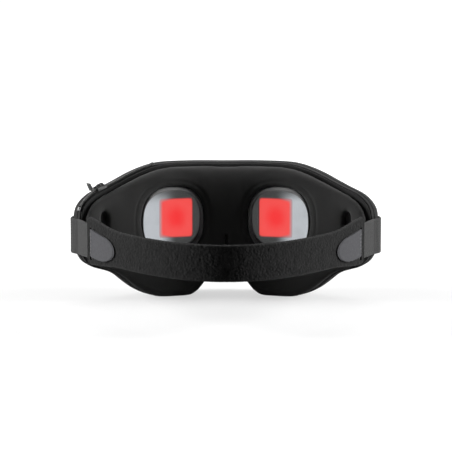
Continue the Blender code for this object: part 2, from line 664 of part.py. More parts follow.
def web_path(path):
    """Plan curve of the right webbing: round the temple, back to the strap's bar and out of its slot."""
    edge = TEMPLE_EDGE_U + growth(TEMPLE_EDGE_U, WEB_MIDDLE_Z)
    profile = [(80.0, COVER_FRONT_W), (92.0, COVER_FRONT_W), (edge - 7.5, COVER_FRONT_W), (edge - 4.6, 15.5),
               (edge - 2.0, 13.0), (edge - 0.5, 9.6), (edge, 6.0), (edge, 1.0), (edge, COVER_RIM_W)]
    skin = bend_cover([(u, w, WEB_MIDDLE_Z) for u, w in profile])[:, :2] / MM - (0.0, MASK_Y)
    skin = smooth(skin, 4, False)
    ahead = np.gradient(skin, axis=0)
    ahead /= np.linalg.norm(ahead, axis=1, keepdims=True)
    over = skin + np.stack([-ahead[:, 1], ahead[:, 0]], axis=1) * (WEB_THICK / 2 + GAP + 0.35)
    slot_s = sum(SLOT_S) / 2
    behind = -(STRAP_THICK / 2 + GAP + WEB_THICK / 2)
    # Past the cover's rim the curve sweeps in behind the bar, then turns out into the slot.
    places = ((0.0, behind), (slot_s - 1.4, behind - 0.1), (slot_s - 0.15, behind + 0.9), (slot_s, 0.5))
    inside = [path.at(np.array(s)) + path.side(np.array(s)) * n for s, n in places]
    between = [(over[-1] * (3 - k) + inside[0] * k) / 3 for k in (1, 2)]
    sweep = smooth([over[-1], *between, *inside], 5, False)
    return PlanPath(np.vstack([over[:-1], sweep]), 1.0)


def straps():
    path = strap_path()
    swing = pivot_at("strap_swing", Vector((0.0, SWING_Y + MASK_Y, WEB_MIDDLE_Z)) * MM)
    make("head_strap", head_strap(path), path, "strap_pile", swing)
    web = web_path(path)
    half = (WEB_Z[1] - WEB_Z[0]) / 2
    samples = np.linspace(0.0, web.total, 1200)
    ys = web.at(samples)[:, 1]

    def length_at(y):
        """Length along the webbing where it passes a plan depth."""
        return float(samples[np.argmax(ys <= y)])

    # The split follows a circle about the swing axis, so both halves stay clear as the strap swings.
    heights = np.linspace(half, -half, 17)
    hollow = SWING_RADIUS + 0.7
    round_end = [(length_at(SWING_Y + math.sqrt(max(SWING_RADIUS ** 2 - z * z, 0.0))), WEB_MIDDLE_Z + z)
                 for z in heights]
    hollow_end = [(length_at(max(SWING_Y + math.sqrt(hollow ** 2 - z * z), SWING_Y + 7.0)), WEB_MIDDLE_Z + z)
                  for z in heights]
    moving = np.array(round_end + [(web.total, WEB_SLOT_Z[0]), (web.total, WEB_SLOT_Z[1])])
    fixed = np.array([(9.0, WEB_Z[1])] + hollow_end + [(9.0, WEB_Z[0])])
    thick = WEB_THICK / 2
    moving_cuts = np.arange(12.0, web.total, 2.5)
    moving_cuts = moving_cuts[moving_cuts > min(s for s, _ in round_end) + 0.5]
    fixed_cuts = np.arange(12.0, max(s for s, _ in hollow_end) - 0.5, 2.5)
    patch = rounded_box(13.0, WEB_MIDDLE_Z, 7.0, half + 2.0, 2.0, 3)
    low = thick + GAP
    tips = {}
    for name, side in SIDES:
        put = web if side > 0 else mirrored(web)
        band = solid(*plate(moving, -thick, thick), moving_cuts)
        make(f"webbing_{name}", band, put, "grey_webbing", swing)
        anchor = solid(*plate(fixed, -thick, thick), fixed_cuts)
        make(f"webbing_anchor_{name}", anchor, put, "grey_webbing")
        cover = solid(*plate(patch, low, low + 1.0), (9.0, 12.0, 15.0, 18.0))
        make(f"anchor_patch_{name}", cover, put, "shell_cloth")
        tips[name] = hook_tab(name, side, path)
    return swing.location.copy(), tips


def hook_tab(name, side, path):
    """The D-shaped hook tab lies on the strap's outer face and peels up about the slot."""
    slot_s = sum(SLOT_S) / 2
    low = STRAP_THICK / 2 + GAP
    put = path if side > 0 else mirrored(path)
    place = Vector(put([(slot_s, TAB_AXIS_N, WEB_MIDDLE_Z)])[0])
    peel = pivot_at(f"tab_axis_{name}", place)
    middle, half = sum(TAB_NOSE_Z) / 2, (TAB_NOSE_Z[1] - TAB_NOSE_Z[0]) / 2
    start = slot_s + 1.3
    turns = np.linspace(math.pi / 2, -math.pi / 2, 13)
    nose = [(start + TAB_LENGTH * (0.42 + 0.58 * math.cos(t)), middle + half * math.sin(t)) for t in turns]
    outline = np.array([(start, TAB_Z[0]), (start, TAB_Z[1])] + nose)
    body = solid(*plate(outline, low, low + 1.3), np.arange(12.0, start + TAB_LENGTH, 4.0))
    make(f"hook_tab_{name}", body, put, "hook_grey", peel)
    return place


clear_scene()
front_cover()
face_pad()
zip_axes = zip_line()
eyes()
inner_panel()
chassis()
electronics()
motor_axes = {name: vibration_motor(name, side) for name, side in SIDES}
button_axes = control_pod()
swing_axis, tab_axes = straps()
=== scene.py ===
# %% [markdown]
# # An eye massager mask
# The mask is a curved, zipped case of black cloth with a cushion on the wearer's side, two eye openings with
# red light panels behind clear lenses, and a loop-pile strap held by grey webbing. The joints, sizes and
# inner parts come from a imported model, which is loaded first as a fixed frame. Everything made here sits in
# that frame.

# %% Load the frame
import math

import bmesh
import bpy
import numpy as np
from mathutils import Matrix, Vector


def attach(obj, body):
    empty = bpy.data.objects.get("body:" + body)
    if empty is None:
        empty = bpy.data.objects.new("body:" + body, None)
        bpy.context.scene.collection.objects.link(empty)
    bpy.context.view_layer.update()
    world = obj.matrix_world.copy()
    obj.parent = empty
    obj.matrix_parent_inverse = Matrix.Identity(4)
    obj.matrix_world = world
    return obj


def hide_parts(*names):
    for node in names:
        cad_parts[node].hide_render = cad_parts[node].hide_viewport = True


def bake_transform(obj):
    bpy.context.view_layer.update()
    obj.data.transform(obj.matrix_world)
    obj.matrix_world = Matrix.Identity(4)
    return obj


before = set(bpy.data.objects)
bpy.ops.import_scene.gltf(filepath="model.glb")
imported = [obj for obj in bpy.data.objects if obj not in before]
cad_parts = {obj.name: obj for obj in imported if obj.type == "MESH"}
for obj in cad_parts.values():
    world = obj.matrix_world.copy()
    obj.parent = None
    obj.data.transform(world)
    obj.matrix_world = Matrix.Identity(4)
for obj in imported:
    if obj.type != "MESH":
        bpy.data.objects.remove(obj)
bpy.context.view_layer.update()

# %% [markdown]
# ## The flat map
# The mask is drawn flat, as a maker cuts it: u runs along the face from the nose, v runs up, and w runs
# outward from the face, all in millimetres. One formula bends the flat drawing round a head. Every soft piece
# below is a formula in (u, w, v), so seams, holes and stitches line up without any fitting by eye.

# %% Bend flat millimetres round the face
MM = 0.001
BEND_RADIUS = 150.0
TAPER = 0.42
TAPER_FROM = 45.0
TEMPLE_U = 112.0
PAD_HEIGHT = 93.6
SHELL_GROWTH, TEMPLE_GROWTH = 1.6, 1.4
MASK_Y = 63.85             # brings the whole model's middle to y = 0
SIDES = (("left", -1.0), ("right", 1.0))


def ease(t):
    """A smooth step: 3 t squared minus 2 t cubed, held between 0 and 1."""
    t = np.clip(t, 0.0, 1.0)
    return t * t * (3.0 - 2.0 * t)


def bump(x, width):
    """A bell: e to the power of minus (x / width) squared."""
    return np.exp(-((x / width) ** 2))


def taper(u):
    """How much of the thickness is left at u: all of it near the nose, easing to 0.58 of it at the temples."""
    return 1.0 - TAPER * ease((np.abs(u) - TAPER_FROM) / (TEMPLE_U - TAPER_FROM))


def bend(u, w, v):
    """Wrap round a cylinder: the angle is u / radius, the reach is radius + w times the taper, v is the
    height."""
    reach = BEND_RADIUS + w * taper(u)
    turn = u / BEND_RADIUS
    y = reach * np.cos(turn) - BEND_RADIUS + MASK_Y
    return np.stack(np.broadcast_arrays(reach * np.sin(turn), y, v), axis=-1) * MM


def bend_cover(u, w, v):
    """The same wrap, with the front face swollen outward by a bell over each eye."""
    swell = 2.6 * bump(np.abs(u) - 56.0, 22.0) * bump(v - 50.0, 30.0)
    return bend(u, w + swell * np.clip((w - 7.0) / 6.0, 0.0, 1.0), v)


def unbend(points):
    """Back to flat (u, w, v) millimetres: u is the angle times the radius, w the reach left over, over
    the taper."""
    x, y, v = (points / MM).T
    y = y - MASK_Y + BEND_RADIUS
    u = np.arctan2(x, y) * BEND_RADIUS
    w = (np.hypot(x, y) - BEND_RADIUS) / taper(u)
    return np.stack([u, w, v], axis=1)


def placed(u, v):
    """A stiff piece standing square to the bend at (u, v): x along, w outward and z up are added to that
    place."""
    turn = u / BEND_RADIUS
    seat = bend(u, 0.0, v) / MM

    def put(x, w, z):
        east = seat[0] + x * math.cos(turn) + w * math.sin(turn)
        north = seat[1] - x * math.sin(turn) + w * math.cos(turn)
        return np.stack(np.broadcast_arrays(east, north, seat[2] + z), axis=-1) * MM

    return put


# %% [markdown]
# ## Meshes from whole arrays
# A surface is a grid of points, so its faces are plain counting. These few helpers turn grids into closed
# meshes. Each piece keeps its flat millimetres as an attribute called "flat", and its fabric is woven along
# it, so the threads follow the cloth round every bend.

# %% Grids, closed skins and slabs
def grid_faces(rows, cols, around=False, again=False):
    """Quads of a grid of corners: around joins each row's end to its start, again joins the last row to
    the first."""
    r, c = np.meshgrid(np.arange(rows - (not again)), np.arange(cols - (not around)), indexing="ij")
    r2, c2 = (r + 1) % rows, (c + 1) % cols
    return np.stack([r * cols + c, r * cols + c2, r2 * cols + c2, r2 * cols + c], axis=-1).reshape(-1, 4)


def skin(rings, again=False, poles=None):
    """A closed skin over a stack of rings. Its ends are closed by fans to poles, or the last ring joins
    the first."""
    rows, cols, _ = rings.shape
    points = rings.reshape(-1, 3)
    quads = grid_faces(rows, cols, around=True, again=again)
    if again:
        return points, [quads]
    ends = np.stack([rings[0].mean(axis=0), rings[-1].mean(axis=0)] if poles is None else poles)
    step = np.arange(cols)
    last = (rows - 1) * cols
    first_fan = np.stack([np.full(cols, rows * cols), (step + 1) % cols, step], axis=1)
    last_fan = np.stack([np.full(cols, rows * cols + 1), last + step, last + (step + 1) % cols], axis=1)
    return np.vstack([points, ends]), [quads, first_fan, last_fan]


def slab(top, under, keep=None):
    """A closed sheet between two grids. keep marks the cells that are there, and walls close every open
    edge."""
    rows, cols, _ = top.shape
    keep = np.ones((rows - 1, cols - 1), bool) if keep is None else keep
    cells = grid_faces(rows, cols)[keep.ravel()]
    count = rows * cols
    edges = np.concatenate([cells[:, [k, (k + 1) % 4]] for k in range(4)])
    key = edges.min(axis=1) * count + edges.max(axis=1)
    _, place, seen = np.unique(key, return_index=True, return_counts=True)
    a, b = edges[place[seen == 1]].T
    walls = np.stack([b, a, a + count, b + count], axis=1)
    faces = np.vstack([cells, cells[:, ::-1] + count, walls])
    used, faces = np.unique(faces, return_inverse=True)
    return np.vstack([top.reshape(-1, 3), under.reshape(-1, 3)])[used], [faces.reshape(-1, 4)], used % count


def repeat(template, faces, seats, along, out):
    """Copies of one small shape: its x, y, z are laid along, sideways (out x along) and out at each seat."""
    along = along / np.linalg.norm(along, axis=1, keepdims=True)
    side = np.cross(out, along)
    side /= np.linalg.norm(side, axis=1, keepdims=True)
    up = np.cross(along, side)
    axes = np.stack([along, side, up], axis=1)
    points = seats[:, None, :] + np.einsum("pk,nkj->npj", template, axes)
    shift = np.arange(len(seats))[:, None, None] * len(template)
    return points.reshape(-1, 3), [(face[None] + shift).reshape(-1, face.shape[1]) for face in faces]


def gather(*shapes):
    """Several (points, faces) as one."""
    points, faces, start = [], [], 0
    for shape in shapes:
        points.append(shape[0])
        faces += [face + start for face in shape[1]]
        start += len(shape[0])
    return np.vstack(points), faces


def six_volumes(points, faces):
    """Six times the signed volume: the sum over triangles of a . (b x c)."""
    total = 0.0
    for face in faces:
        for k in range(1, face.shape[1] - 1):
            a, b, c = (points[face[:, j]] for j in (0, k, k + 1))
            total += np.einsum("ij,ij->", a, np.cross(b, c))
    return total


def outward_mesh(name, shape):
    """A mesh of the shape's points and faces, turned so that the faces point outward."""
    points, faces = shape[0], shape[1]
    if six_volumes(points - points.mean(axis=0), faces) < 0:
        faces = [face[:, ::-1] for face in faces]
    mesh = bpy.data.meshes.new(name)
    mesh.from_pydata(points.tolist(), [], [row for face in faces for row in face.tolist()])
    return mesh


def linked(thing):
    """The object, now in the scene."""
    bpy.context.scene.collection.objects.link(thing)
    return thing


def keep_value(mesh, label, kind, values):
    """A value at every point that a material can read by its label."""
    mesh.attributes.new(label, kind, "POINT")
    field = "vector" if kind == "FLOAT_VECTOR" else "value"
    mesh.attributes[label].data.foreach_set(field, values.ravel())


def piece(name, shape, body, finish, flat=None, crease=None, replaces=()):
    """Put a shape into a mesh, give it its flat millimetres and its finish, and hang it on its body."""
    mesh = outward_mesh(name, shape)
    keep_value(mesh, "flat", "FLOAT_VECTOR", shape[0] / MM if flat is None else flat)
    return finished(name, mesh, body, finish, crease, replaces)


def finished(name, mesh, body, finish, crease=None, replaces=()):
    """The last steps of every piece: smooth shading, material, body, and the CAD nodes it stands for."""
    mesh.materials.clear()
    mesh.materials.append(finish)
    mesh.shade_smooth()
    if crease:
        mesh.set_sharp_from_angle(angle=math.radians(crease))
    thing = linked(bpy.data.objects.new(name, mesh))
    if body:
        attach(thing, body)
    if replaces:
        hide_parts(*replaces)
    print(name, len(mesh.polygons), "faces")
    return thing


# %% [markdown]
# ## Outlines
# The mask's outline is one list of points for its right half, mirrored and run through with a smooth curve. A
# Catmull-Rom curve passes through its points, which is what a pattern cutter's spline ruler does too.

# %% The mask's outline and ovals
OUTLINE = np.array([
    (0, 95.0), (22, 95.3), (42, 95.2), (51, 94.2), (60, 91.8), (69, 88.6), (78, 84.8), (87, 81.3),
    (97, 77.4), (103, 74.0), (108, 69.2), (110.8, 63), (111.6, 54), (111.4, 44), (110, 36.5),
    (106.4, 30.2), (100, 25.8), (92, 22.8), (86, 20.5), (81, 17.4), (76.5, 13.6), (72, 9.8),
    (67, 6.4), (61, 3.2), (55, 1.0), (48, 0), (38, 0), (30, 0), (25, 1.2), (20.5, 4.4), (16.5, 9),
    (13, 14.5), (9, 20), (4, 23.6), (0, 24.4),
]) * (1.0, PAD_HEIGHT / 95.3)
EYE_U, EYE_V, EYE_POWER = 41.8, 55.5, 2.5
CUP_U, CUP_DROP = 41.0, 1.0   # the cup's mouth sits a little nearer the nose and lower than the opening
LIGHT_U = 35.4


def catmull(points, per, closed=False):
    """A curve through the points: each span is a cubic of its two ends and their neighbours."""
    if closed:
        a, b, c, d = (np.roll(points, k, axis=0) for k in (1, 0, -1, -2))
    else:
        b, c = points[:-1], points[1:]
        a, d = np.vstack([points[:1], points[:-2]]), np.vstack([points[2:], points[-1:]])
    t = (np.arange(per) / per)[None, :, None]
    a, b, c, d = (p[:, None, :] for p in (a, b, c, d))
    bow, twist = 2 * a - 5 * b + 4 * c - d, 3 * b - a - 3 * c + d
    curve = (0.5 * (2 * b + (c - a) * t + bow * t ** 2 + twist * t ** 3)).reshape(-1, points.shape[1])
    return curve if closed else np.vstack([curve, points[-1:]])


def run_length(curve):
    return np.concatenate([[0.0], np.cumsum(np.linalg.norm(np.diff(curve, axis=0), axis=1))])


def along(curve, wanted):
    """The curve's points at the wanted lengths from its start."""
    lengths = run_length(curve)
    return np.stack([np.interp(wanted, lengths, curve[:, k]) for k in range(curve.shape[1])], axis=-1)


def mask_loop(count):
    """Points at equal steps round the whole outline."""
    half = OUTLINE
    ring = catmull(np.vstack([half, half[-2:0:-1] * (-1.0, 1.0)]), 8, closed=True)
    ring = np.vstack([ring, ring[:1]])
    loop = along(ring, np.arange(count) * run_length(ring)[-1] / count)
    loop[:, 1] = np.maximum(loop[:, 1], 0.0)
    return loop


def growth(u, v):
    """How far the shell stands out past the cushion: nothing at the lobes, more above them, most at the
    temples."""
    aside = ease((np.abs(u) - 85.0) / 25.0) * ease((v - 56.0) / 12.0)
    return SHELL_GROWTH * ease((v - 20.0) / 25.0) + TEMPLE_GROWTH * aside


def normals(loop):
    """The way out from a loop: its direction turned a quarter left, since it runs clockwise."""
    ahead = np.roll(loop, -1, axis=0) - np.roll(loop, 1, axis=0)
    ahead /= np.linalg.norm(ahead, axis=1, keepdims=True)
    return np.stack([-ahead[:, 1], ahead[:, 0]], axis=1)


def inset(loop, depth):
    """The loop moved in along its normals, eased a little where the step is deep."""
    moved = loop - normals(loop) * depth
    for _ in range(int(depth * len(loop) / 200.0)):
        moved = 0.5 * moved + 0.25 * (np.roll(moved, 1, axis=0) + np.roll(moved, -1, axis=0))
    return moved


def oval(u, v, half_u, half_v, power=2.0, count=96):
    """A squared oval: u plus half_u times cos to the power 2 / power, and v with sin in the same way."""
    turn = np.arange(count) * 2.0 * math.pi / count
    c, s = np.cos(turn), np.sin(turn)
    return np.stack([u + half_u * np.sign(c) * np.abs(c) ** (2 / power),
                     v + half_v * np.sign(s) * np.abs(s) ** (2 / power)], axis=1)


def raised(chain, put):
    """Rings for a skin: each (loop, w) of the chain lifted to its w and put in place."""
    return np.stack([put(loop[:, 0], w, loop[:, 1]) for loop, w in chain])


def flat_of(chain):
    """The flat millimetres of the same rings, for the fabric to follow."""
    return np.vstack([np.column_stack([loop, np.full(len(loop), w)]) for loop, w in chain])


RIM = mask_loop(360)
SHELL_RIM = RIM + normals(RIM) * growth(*RIM.T)[:, None]
print("outline runs", round(float(run_length(np.vstack([RIM, RIM[:1]]))[-1])), "mm round")

# %% [markdown]
# ## Shared effects
# Weave, pile, moulded grain, lint and worn edges turn up on several finishes. Each is a shader node group
# that gives out only colours and heights, built once here. The shader itself stays in each material, so that
# its plain values, such as sheen and roughness, are set on its own sockets.

# %% Helpers for node trees
def add(tree, kind, wires=None, **settings):
    """A node with its settings, its sockets wired to outputs or set to values."""
    node = tree.nodes.new(kind)
    for key, value in settings.items():
        setattr(node, key, value)
    for socket, source in (wires or {}).items():
        if isinstance(source, bpy.types.NodeSocket):
            tree.links.new(source, node.inputs[socket])
        else:
            node.inputs[socket].default_value = source
    return node


def sums(tree, operation, a, b=0.0, c=0.0):
    """One Math node."""
    return add(tree, "ShaderNodeMath", {0: a, 1: b, 2: c}, operation=operation).outputs[0]


def blended(tree, factor, a, b, blend="MIX"):
    """One colour Mix node."""
    return add(tree, "ShaderNodeMix", {0: factor, 6: a, 7: b}, data_type="RGBA", blend_type=blend).outputs[2]


def ranged(tree, value, low, high, to_low=0.0, to_high=1.0, smooth=False):
    """One Map Range node, straight or eased."""
    return add(tree, "ShaderNodeMapRange", {0: value, 1: low, 2: high, 3: to_low, 4: to_high},
               interpolation_type="SMOOTHSTEP" if smooth else "LINEAR").outputs[0]


def noise_at(tree, vector, scale, detail, rough=0.5):
    """One Noise node's value."""
    return add(tree, "ShaderNodeTexNoise", {"Vector": vector, "Scale": scale, "Detail": detail,
                                            "Roughness": rough}).outputs[0]


def axes_of(tree, vector):
    """A vector's x, y and z."""
    return add(tree, "ShaderNodeSeparateXYZ", {0: vector}).outputs


def grey(value, tint=(1.0, 1.0, 1.0)):
    return (value * tint[0], value * tint[1], value * tint[2], 1.0)


def new_group(name, takes, gives):
    """An empty node group: takes is (label, kind, default), gives is (label, kind)."""
    tree = bpy.data.node_groups.new(name, "ShaderNodeTree")
    for label, kind, value in takes:
        socket = tree.interface.new_socket(label, in_out="INPUT", socket_type=f"NodeSocket{kind}")
        if value is not None:
            socket.default_value = value
    for label, kind in gives:
        tree.interface.new_socket(label, in_out="OUTPUT", socket_type=f"NodeSocket{kind}")
    return tree, tree.nodes.new("NodeGroupInput").outputs, tree.nodes.new("NodeGroupOutput").inputs


# %% Woven cloth
def make_weave():
    """Two sets of threads: each is the size of a sine, and a checker of the two sines says which lies on
    top."""
    tree, take, give = new_group("Woven cloth", (
        ("Vector", "Vector", None), ("Pitch", "Float", 0.6), ("Thread", "Color", grey(0.02)),
        ("Gap", "Color", grey(0.006)), ("Slub", "Float", 0.3)), (("Color", "Color"), ("Height", "Float")))
    count = sums(tree, "DIVIDE", math.pi, take["Pitch"])
    step = add(tree, "ShaderNodeVectorMath", {0: take["Vector"], 3: count}, operation="SCALE").outputs[0]
    axes = axes_of(tree, step)
    warp, weft = sums(tree, "SINE", axes[0]), sums(tree, "SINE", axes[1])
    over = sums(tree, "GREATER_THAN", sums(tree, "MULTIPLY", warp, weft), 0.0)
    warp, weft = sums(tree, "ABSOLUTE", warp), sums(tree, "ABSOLUTE", weft)
    height = add(tree, "ShaderNodeMix", {0: over, 2: warp, 3: weft}).outputs[0]
    slub = noise_at(tree, take["Vector"], 0.35, 4.0)
    height = sums(tree, "ADD", height, sums(tree, "MULTIPLY", slub, take["Slub"]))
    lit = sums(tree, "MINIMUM", height, 1.0)
    tree.links.new(blended(tree, lit, take["Gap"], take["Thread"]), give["Color"])
    tree.links.new(height, give["Height"])
    return tree


# %% Loop pile
def make_pile():
    """Matted loops: small cells stand up between dark gaps, and a slow noise presses patches of them flat."""
    tree, take, give = new_group("Loop pile", (
        ("Vector", "Vector", None), ("Loop", "Float", 0.9), ("Light", "Color", grey(0.03)),
        ("Dark", "Color", grey(0.006))), (("Color", "Color"), ("Height", "Float")))
    count = sums(tree, "DIVIDE", 1.0, take["Loop"])
    wander = add(tree, "ShaderNodeTexNoise", {"Vector": take["Vector"],
                                              "Scale": sums(tree, "MULTIPLY", count, 1.7),
                                              "Detail": 3.0})
    bent = add(tree, "ShaderNodeVectorMath", {0: take["Vector"], 1: wander.outputs[1]},
               operation="ADD").outputs[0]
    cells = add(tree, "ShaderNodeTexVoronoi", {"Vector": bent, "Scale": count}, feature="SMOOTH_F1").outputs[0]
    patch = noise_at(tree, take["Vector"], sums(tree, "MULTIPLY", count, 0.22), 5.0, 0.7)
    loops = sums(tree, "SUBTRACT", 1.0, sums(tree, "MULTIPLY", cells, 1.3))
    patch = ranged(tree, patch, 0.35, 0.7)
    height = sums(tree, "ADD", sums(tree, "MULTIPLY", loops, 0.6), sums(tree, "MULTIPLY", patch, 0.5))
    tree.links.new(blended(tree, height, take["Dark"], take["Light"]), give["Color"])
    tree.links.new(height, give["Height"])
    return tree


# %% Moulded grain, lint and worn edges
def make_grain():
    """Fine spark grain of a mould: a small noise for the height, and a slow one that varies the roughness."""
    tree, take, give = new_group("Moulded grain", (
        ("Vector", "Vector", None), ("Size", "Float", 0.5), ("Smooth", "Float", 0.35),
        ("Rough", "Float", 0.55)), (("Roughness", "Float"), ("Height", "Float")))
    fine = noise_at(tree, take["Vector"], sums(tree, "DIVIDE", 1.0, take["Size"]), 6.0)
    slow = noise_at(tree, take["Vector"], 0.09, 3.0)
    tree.links.new(ranged(tree, slow, 0.3, 0.7, take["Smooth"], take["Rough"]), give["Roughness"])
    tree.links.new(fine, give["Height"])
    return tree


def make_lint():
    """Specks of lint and dust: only the peaks of a fine noise, lighter and rougher than the cloth."""
    tree, take, give = new_group("Lint", (
        ("Vector", "Vector", None), ("Color", "Color", None), ("Speck", "Color", grey(0.12)),
        ("Amount", "Float", 0.5)), (("Color", "Color"), ("Mask", "Float")))
    peaks = ranged(tree, noise_at(tree, take["Vector"], 0.9, 8.0, 0.75), 0.62, 0.78)
    mask = sums(tree, "MULTIPLY", peaks, take["Amount"])
    tree.links.new(blended(tree, mask, take["Color"], take["Speck"]), give["Color"])
    tree.links.new(mask, give["Mask"])
    return tree


def make_wear():
    """Edges that hands rub: where the surface is sharp and convex, broken up by a noise."""
    tree, take, give = new_group("Worn edges", (
        ("Vector", "Vector", None), ("Color", "Color", None), ("Bare", "Color", grey(0.1)),
        ("Amount", "Float", 0.5)), (("Color", "Color"), ("Mask", "Float")))
    sharp = ranged(tree, add(tree, "ShaderNodeNewGeometry").outputs["Pointiness"], 0.52, 0.6)
    broken = sums(tree, "MULTIPLY", sharp, noise_at(tree, take["Vector"], 0.4, 5.0))
    mask = sums(tree, "MULTIPLY", broken, take["Amount"])
    tree.links.new(blended(tree, mask, take["Color"], take["Bare"]), give["Color"])
    tree.links.new(mask, give["Mask"])
    return tree


WEAVE, PILE, GRAIN, LINT, WEAR = make_weave(), make_pile(), make_grain(), make_lint(), make_wear()
print("node groups:", [group.name for group in bpy.data.node_groups])

# %% [markdown]
# ## Finishes
# Each finish below is one material for one real substance. Cloth reads the "flat" millimetres, so its threads
# stay the same size on every piece. Plastic and metal read Object coordinates, brought to millimetres by a
# Mapping node.

# %% Start a material
def new_finish(name, base, roughness, flat=False, **plain):
    """A material with its shader, its millimetre vector, and the plain values that don't vary over it."""
    material = bpy.data.materials.new(name)
    material.use_nodes = True
    tree = material.node_tree
    shader = tree.nodes["Principled BSDF"]
    shader.inputs["Base Color"].default_value = base
    shader.inputs["Roughness"].default_value = roughness
    for label, value in plain.items():
        shader.inputs[label.replace("_", " ")].default_value = value
    if flat:
        vector = add(tree, "ShaderNodeAttribute", attribute_name="flat").outputs["Vector"]
    else:
        place = add(tree, "ShaderNodeTexCoord").outputs["Object"]
        vector = add(tree, "ShaderNodeMapping", {0: place, 3: (1000.0, 1000.0, 1000.0)}).outputs[0]
    return material, tree, shader.inputs, vector


def placed_group(tree, group, **values):
    node = add(tree, "ShaderNodeGroup", node_tree=group)
    for label, value in values.items():
        if isinstance(value, bpy.types.NodeSocket):
            tree.links.new(value, node.inputs[label])
        else:
            node.inputs[label].default_value = value
    return node.outputs


def relief(tree, inputs, height, depth_mm):
    """A Bump node: the height, in 0 to 1, stands depth_mm tall."""
    bumps = add(tree, "ShaderNodeBump", {"Strength": 1.0, "Distance": depth_mm * MM, "Height": height})
    tree.links.new(bumps.outputs[0], inputs["Normal"])


# %% Cloth finishes
def woven_finish(name, pitch, thread, gap, depth, lint=0.25, sheen=0.04, flat=True, speck=0.1):
    """A woven cloth with a little lint."""
    material, tree, inputs, vector = new_finish(name, thread, 0.85, flat=flat, Sheen_Weight=sheen,
                                                Sheen_Roughness=0.5, Specular_IOR_Level=0.15)
    weave = placed_group(tree, WEAVE, Vector=vector, Pitch=pitch, Thread=thread, Gap=gap)
    dusty = placed_group(tree, LINT, Vector=vector, Color=weave["Color"], Amount=lint, Speck=grey(speck))
    tree.links.new(dusty["Color"], inputs["Base Color"])
    relief(tree, inputs, weave["Height"], depth)
    return material


shell_cloth = woven_finish("Cover cloth", 0.55, grey(0.0055), grey(0.0018), 0.08)
pad_knit = woven_finish("Cushion knit", 0.42, grey(0.0155, (1.0, 1.0, 0.98)), grey(0.0085), 0.05, lint=0.1,
                        sheen=0.03)
tape_twill = woven_finish("Zip tape", 0.8, grey(0.008), grey(0.003), 0.12)
patch_cloth = woven_finish("Anchor patch", 0.7, grey(0.026), grey(0.009), 0.1)
thread_black = woven_finish("Sewing thread", 0.25, grey(0.018), grey(0.007), 0.05, lint=0.0)
thread_grey = woven_finish("Grey thread", 0.25, grey(0.14), grey(0.06), 0.05, lint=0.0)


RIB_PITCH = 1.3


def webbing_finish():
    """Ribbed elastic webbing: cross ribs every 1.3 mm, as a sine along its length, darker between them."""
    material, tree, inputs, vector = new_finish("Grey webbing", grey(0.028), 0.8, flat=True, Sheen_Weight=0.05,
                                                Specular_IOR_Level=0.2)
    weave = placed_group(tree, WEAVE, Vector=vector, Pitch=0.5, Thread=grey(0.018), Gap=grey(0.008))
    axes = axes_of(tree, vector)
    wave = sums(tree, "SINE", sums(tree, "MULTIPLY", axes[0], 2 * math.pi / RIB_PITCH))
    rib = ranged(tree, wave, -1.0, 0.4)
    ribbed = blended(tree, rib, grey(0.012), weave["Color"])
    dusty = placed_group(tree, LINT, Vector=vector, Color=ribbed, Amount=0.3, Speck=grey(0.12))
    tree.links.new(dusty["Color"], inputs["Base Color"])
    relief(tree, inputs, sums(tree, "ADD", weave["Height"], rib), 0.1)
    return material


def pile_finish(name, light, dark, loop, depth, edge=None):
    """Loop pile; where a piece has an "edge" attribute, its bound edges are lighter and less tufted."""
    material, tree, inputs, vector = new_finish(name, light, 0.95, flat=True, Sheen_Weight=0.02,
                                                Sheen_Roughness=0.6, Specular_IOR_Level=0.1)
    pile = placed_group(tree, PILE, Vector=vector, Loop=loop, Light=light, Dark=dark)
    dusty = placed_group(tree, LINT, Vector=vector, Color=pile["Color"], Amount=0.4, Speck=grey(0.07))
    colour = dusty["Color"]
    if edge:
        mask = add(tree, "ShaderNodeAttribute", attribute_name="edge").outputs["Fac"]
        colour = blended(tree, mask, colour, edge)
    tree.links.new(colour, inputs["Base Color"])
    relief(tree, inputs, pile["Height"], depth)
    return material


grey_webbing = webbing_finish()
strap_pile = pile_finish("Strap pile", grey(0.0062), grey(0.0004), 1.5, 0.8, edge=grey(0.008))
hook_grey = pile_finish("Hook tape", grey(0.038, (1.0, 1.0, 1.08)), grey(0.024, (1.0, 1.0, 1.08)), 0.5, 0.08)


# %% Plastic, metal and boards
def moulded_finish(name, colour, smooth, rough, size=0.4, depth=0.02, wear=0.4, bare=None, **plain):
    """Moulded plastic or cast metal: grain, uneven gloss and rubbed edges."""
    material, tree, inputs, vector = new_finish(name, colour, rough, **plain)
    grain = placed_group(tree, GRAIN, Vector=vector, Size=size, Smooth=smooth, Rough=rough)
    worn = placed_group(tree, WEAR, Vector=vector, Color=colour, Amount=wear,
                        Bare=bare or grey(min(1.0, colour[0] * 3.0 + 0.02)))
    dusty = placed_group(tree, LINT, Vector=vector, Color=worn["Color"], Amount=0.12, Speck=grey(0.2))
    tree.links.new(dusty["Color"], inputs["Base Color"])
    tree.links.new(grain["Roughness"], inputs["Roughness"])
    relief(tree, inputs, grain["Height"], depth)
    return material


def board_finish():
    """Green solder mask with lighter copper tracks under it, from two crossed waves."""
    material, tree, inputs, vector = new_finish("Circuit board", (0.01, 0.09, 0.04, 1.0), 0.4, Coat_Weight=0.4)
    waves = add(tree, "ShaderNodeTexBrick", {"Vector": vector, "Scale": 0.35, "Mortar Size": 0.06},
                offset=0.35).outputs["Fac"]
    tracks = blended(tree, waves, (0.008, 0.07, 0.03, 1.0), (0.03, 0.2, 0.08, 1.0))
    tree.links.new(tracks, inputs["Base Color"])
    relief(tree, inputs, waves, 0.03)
    return material


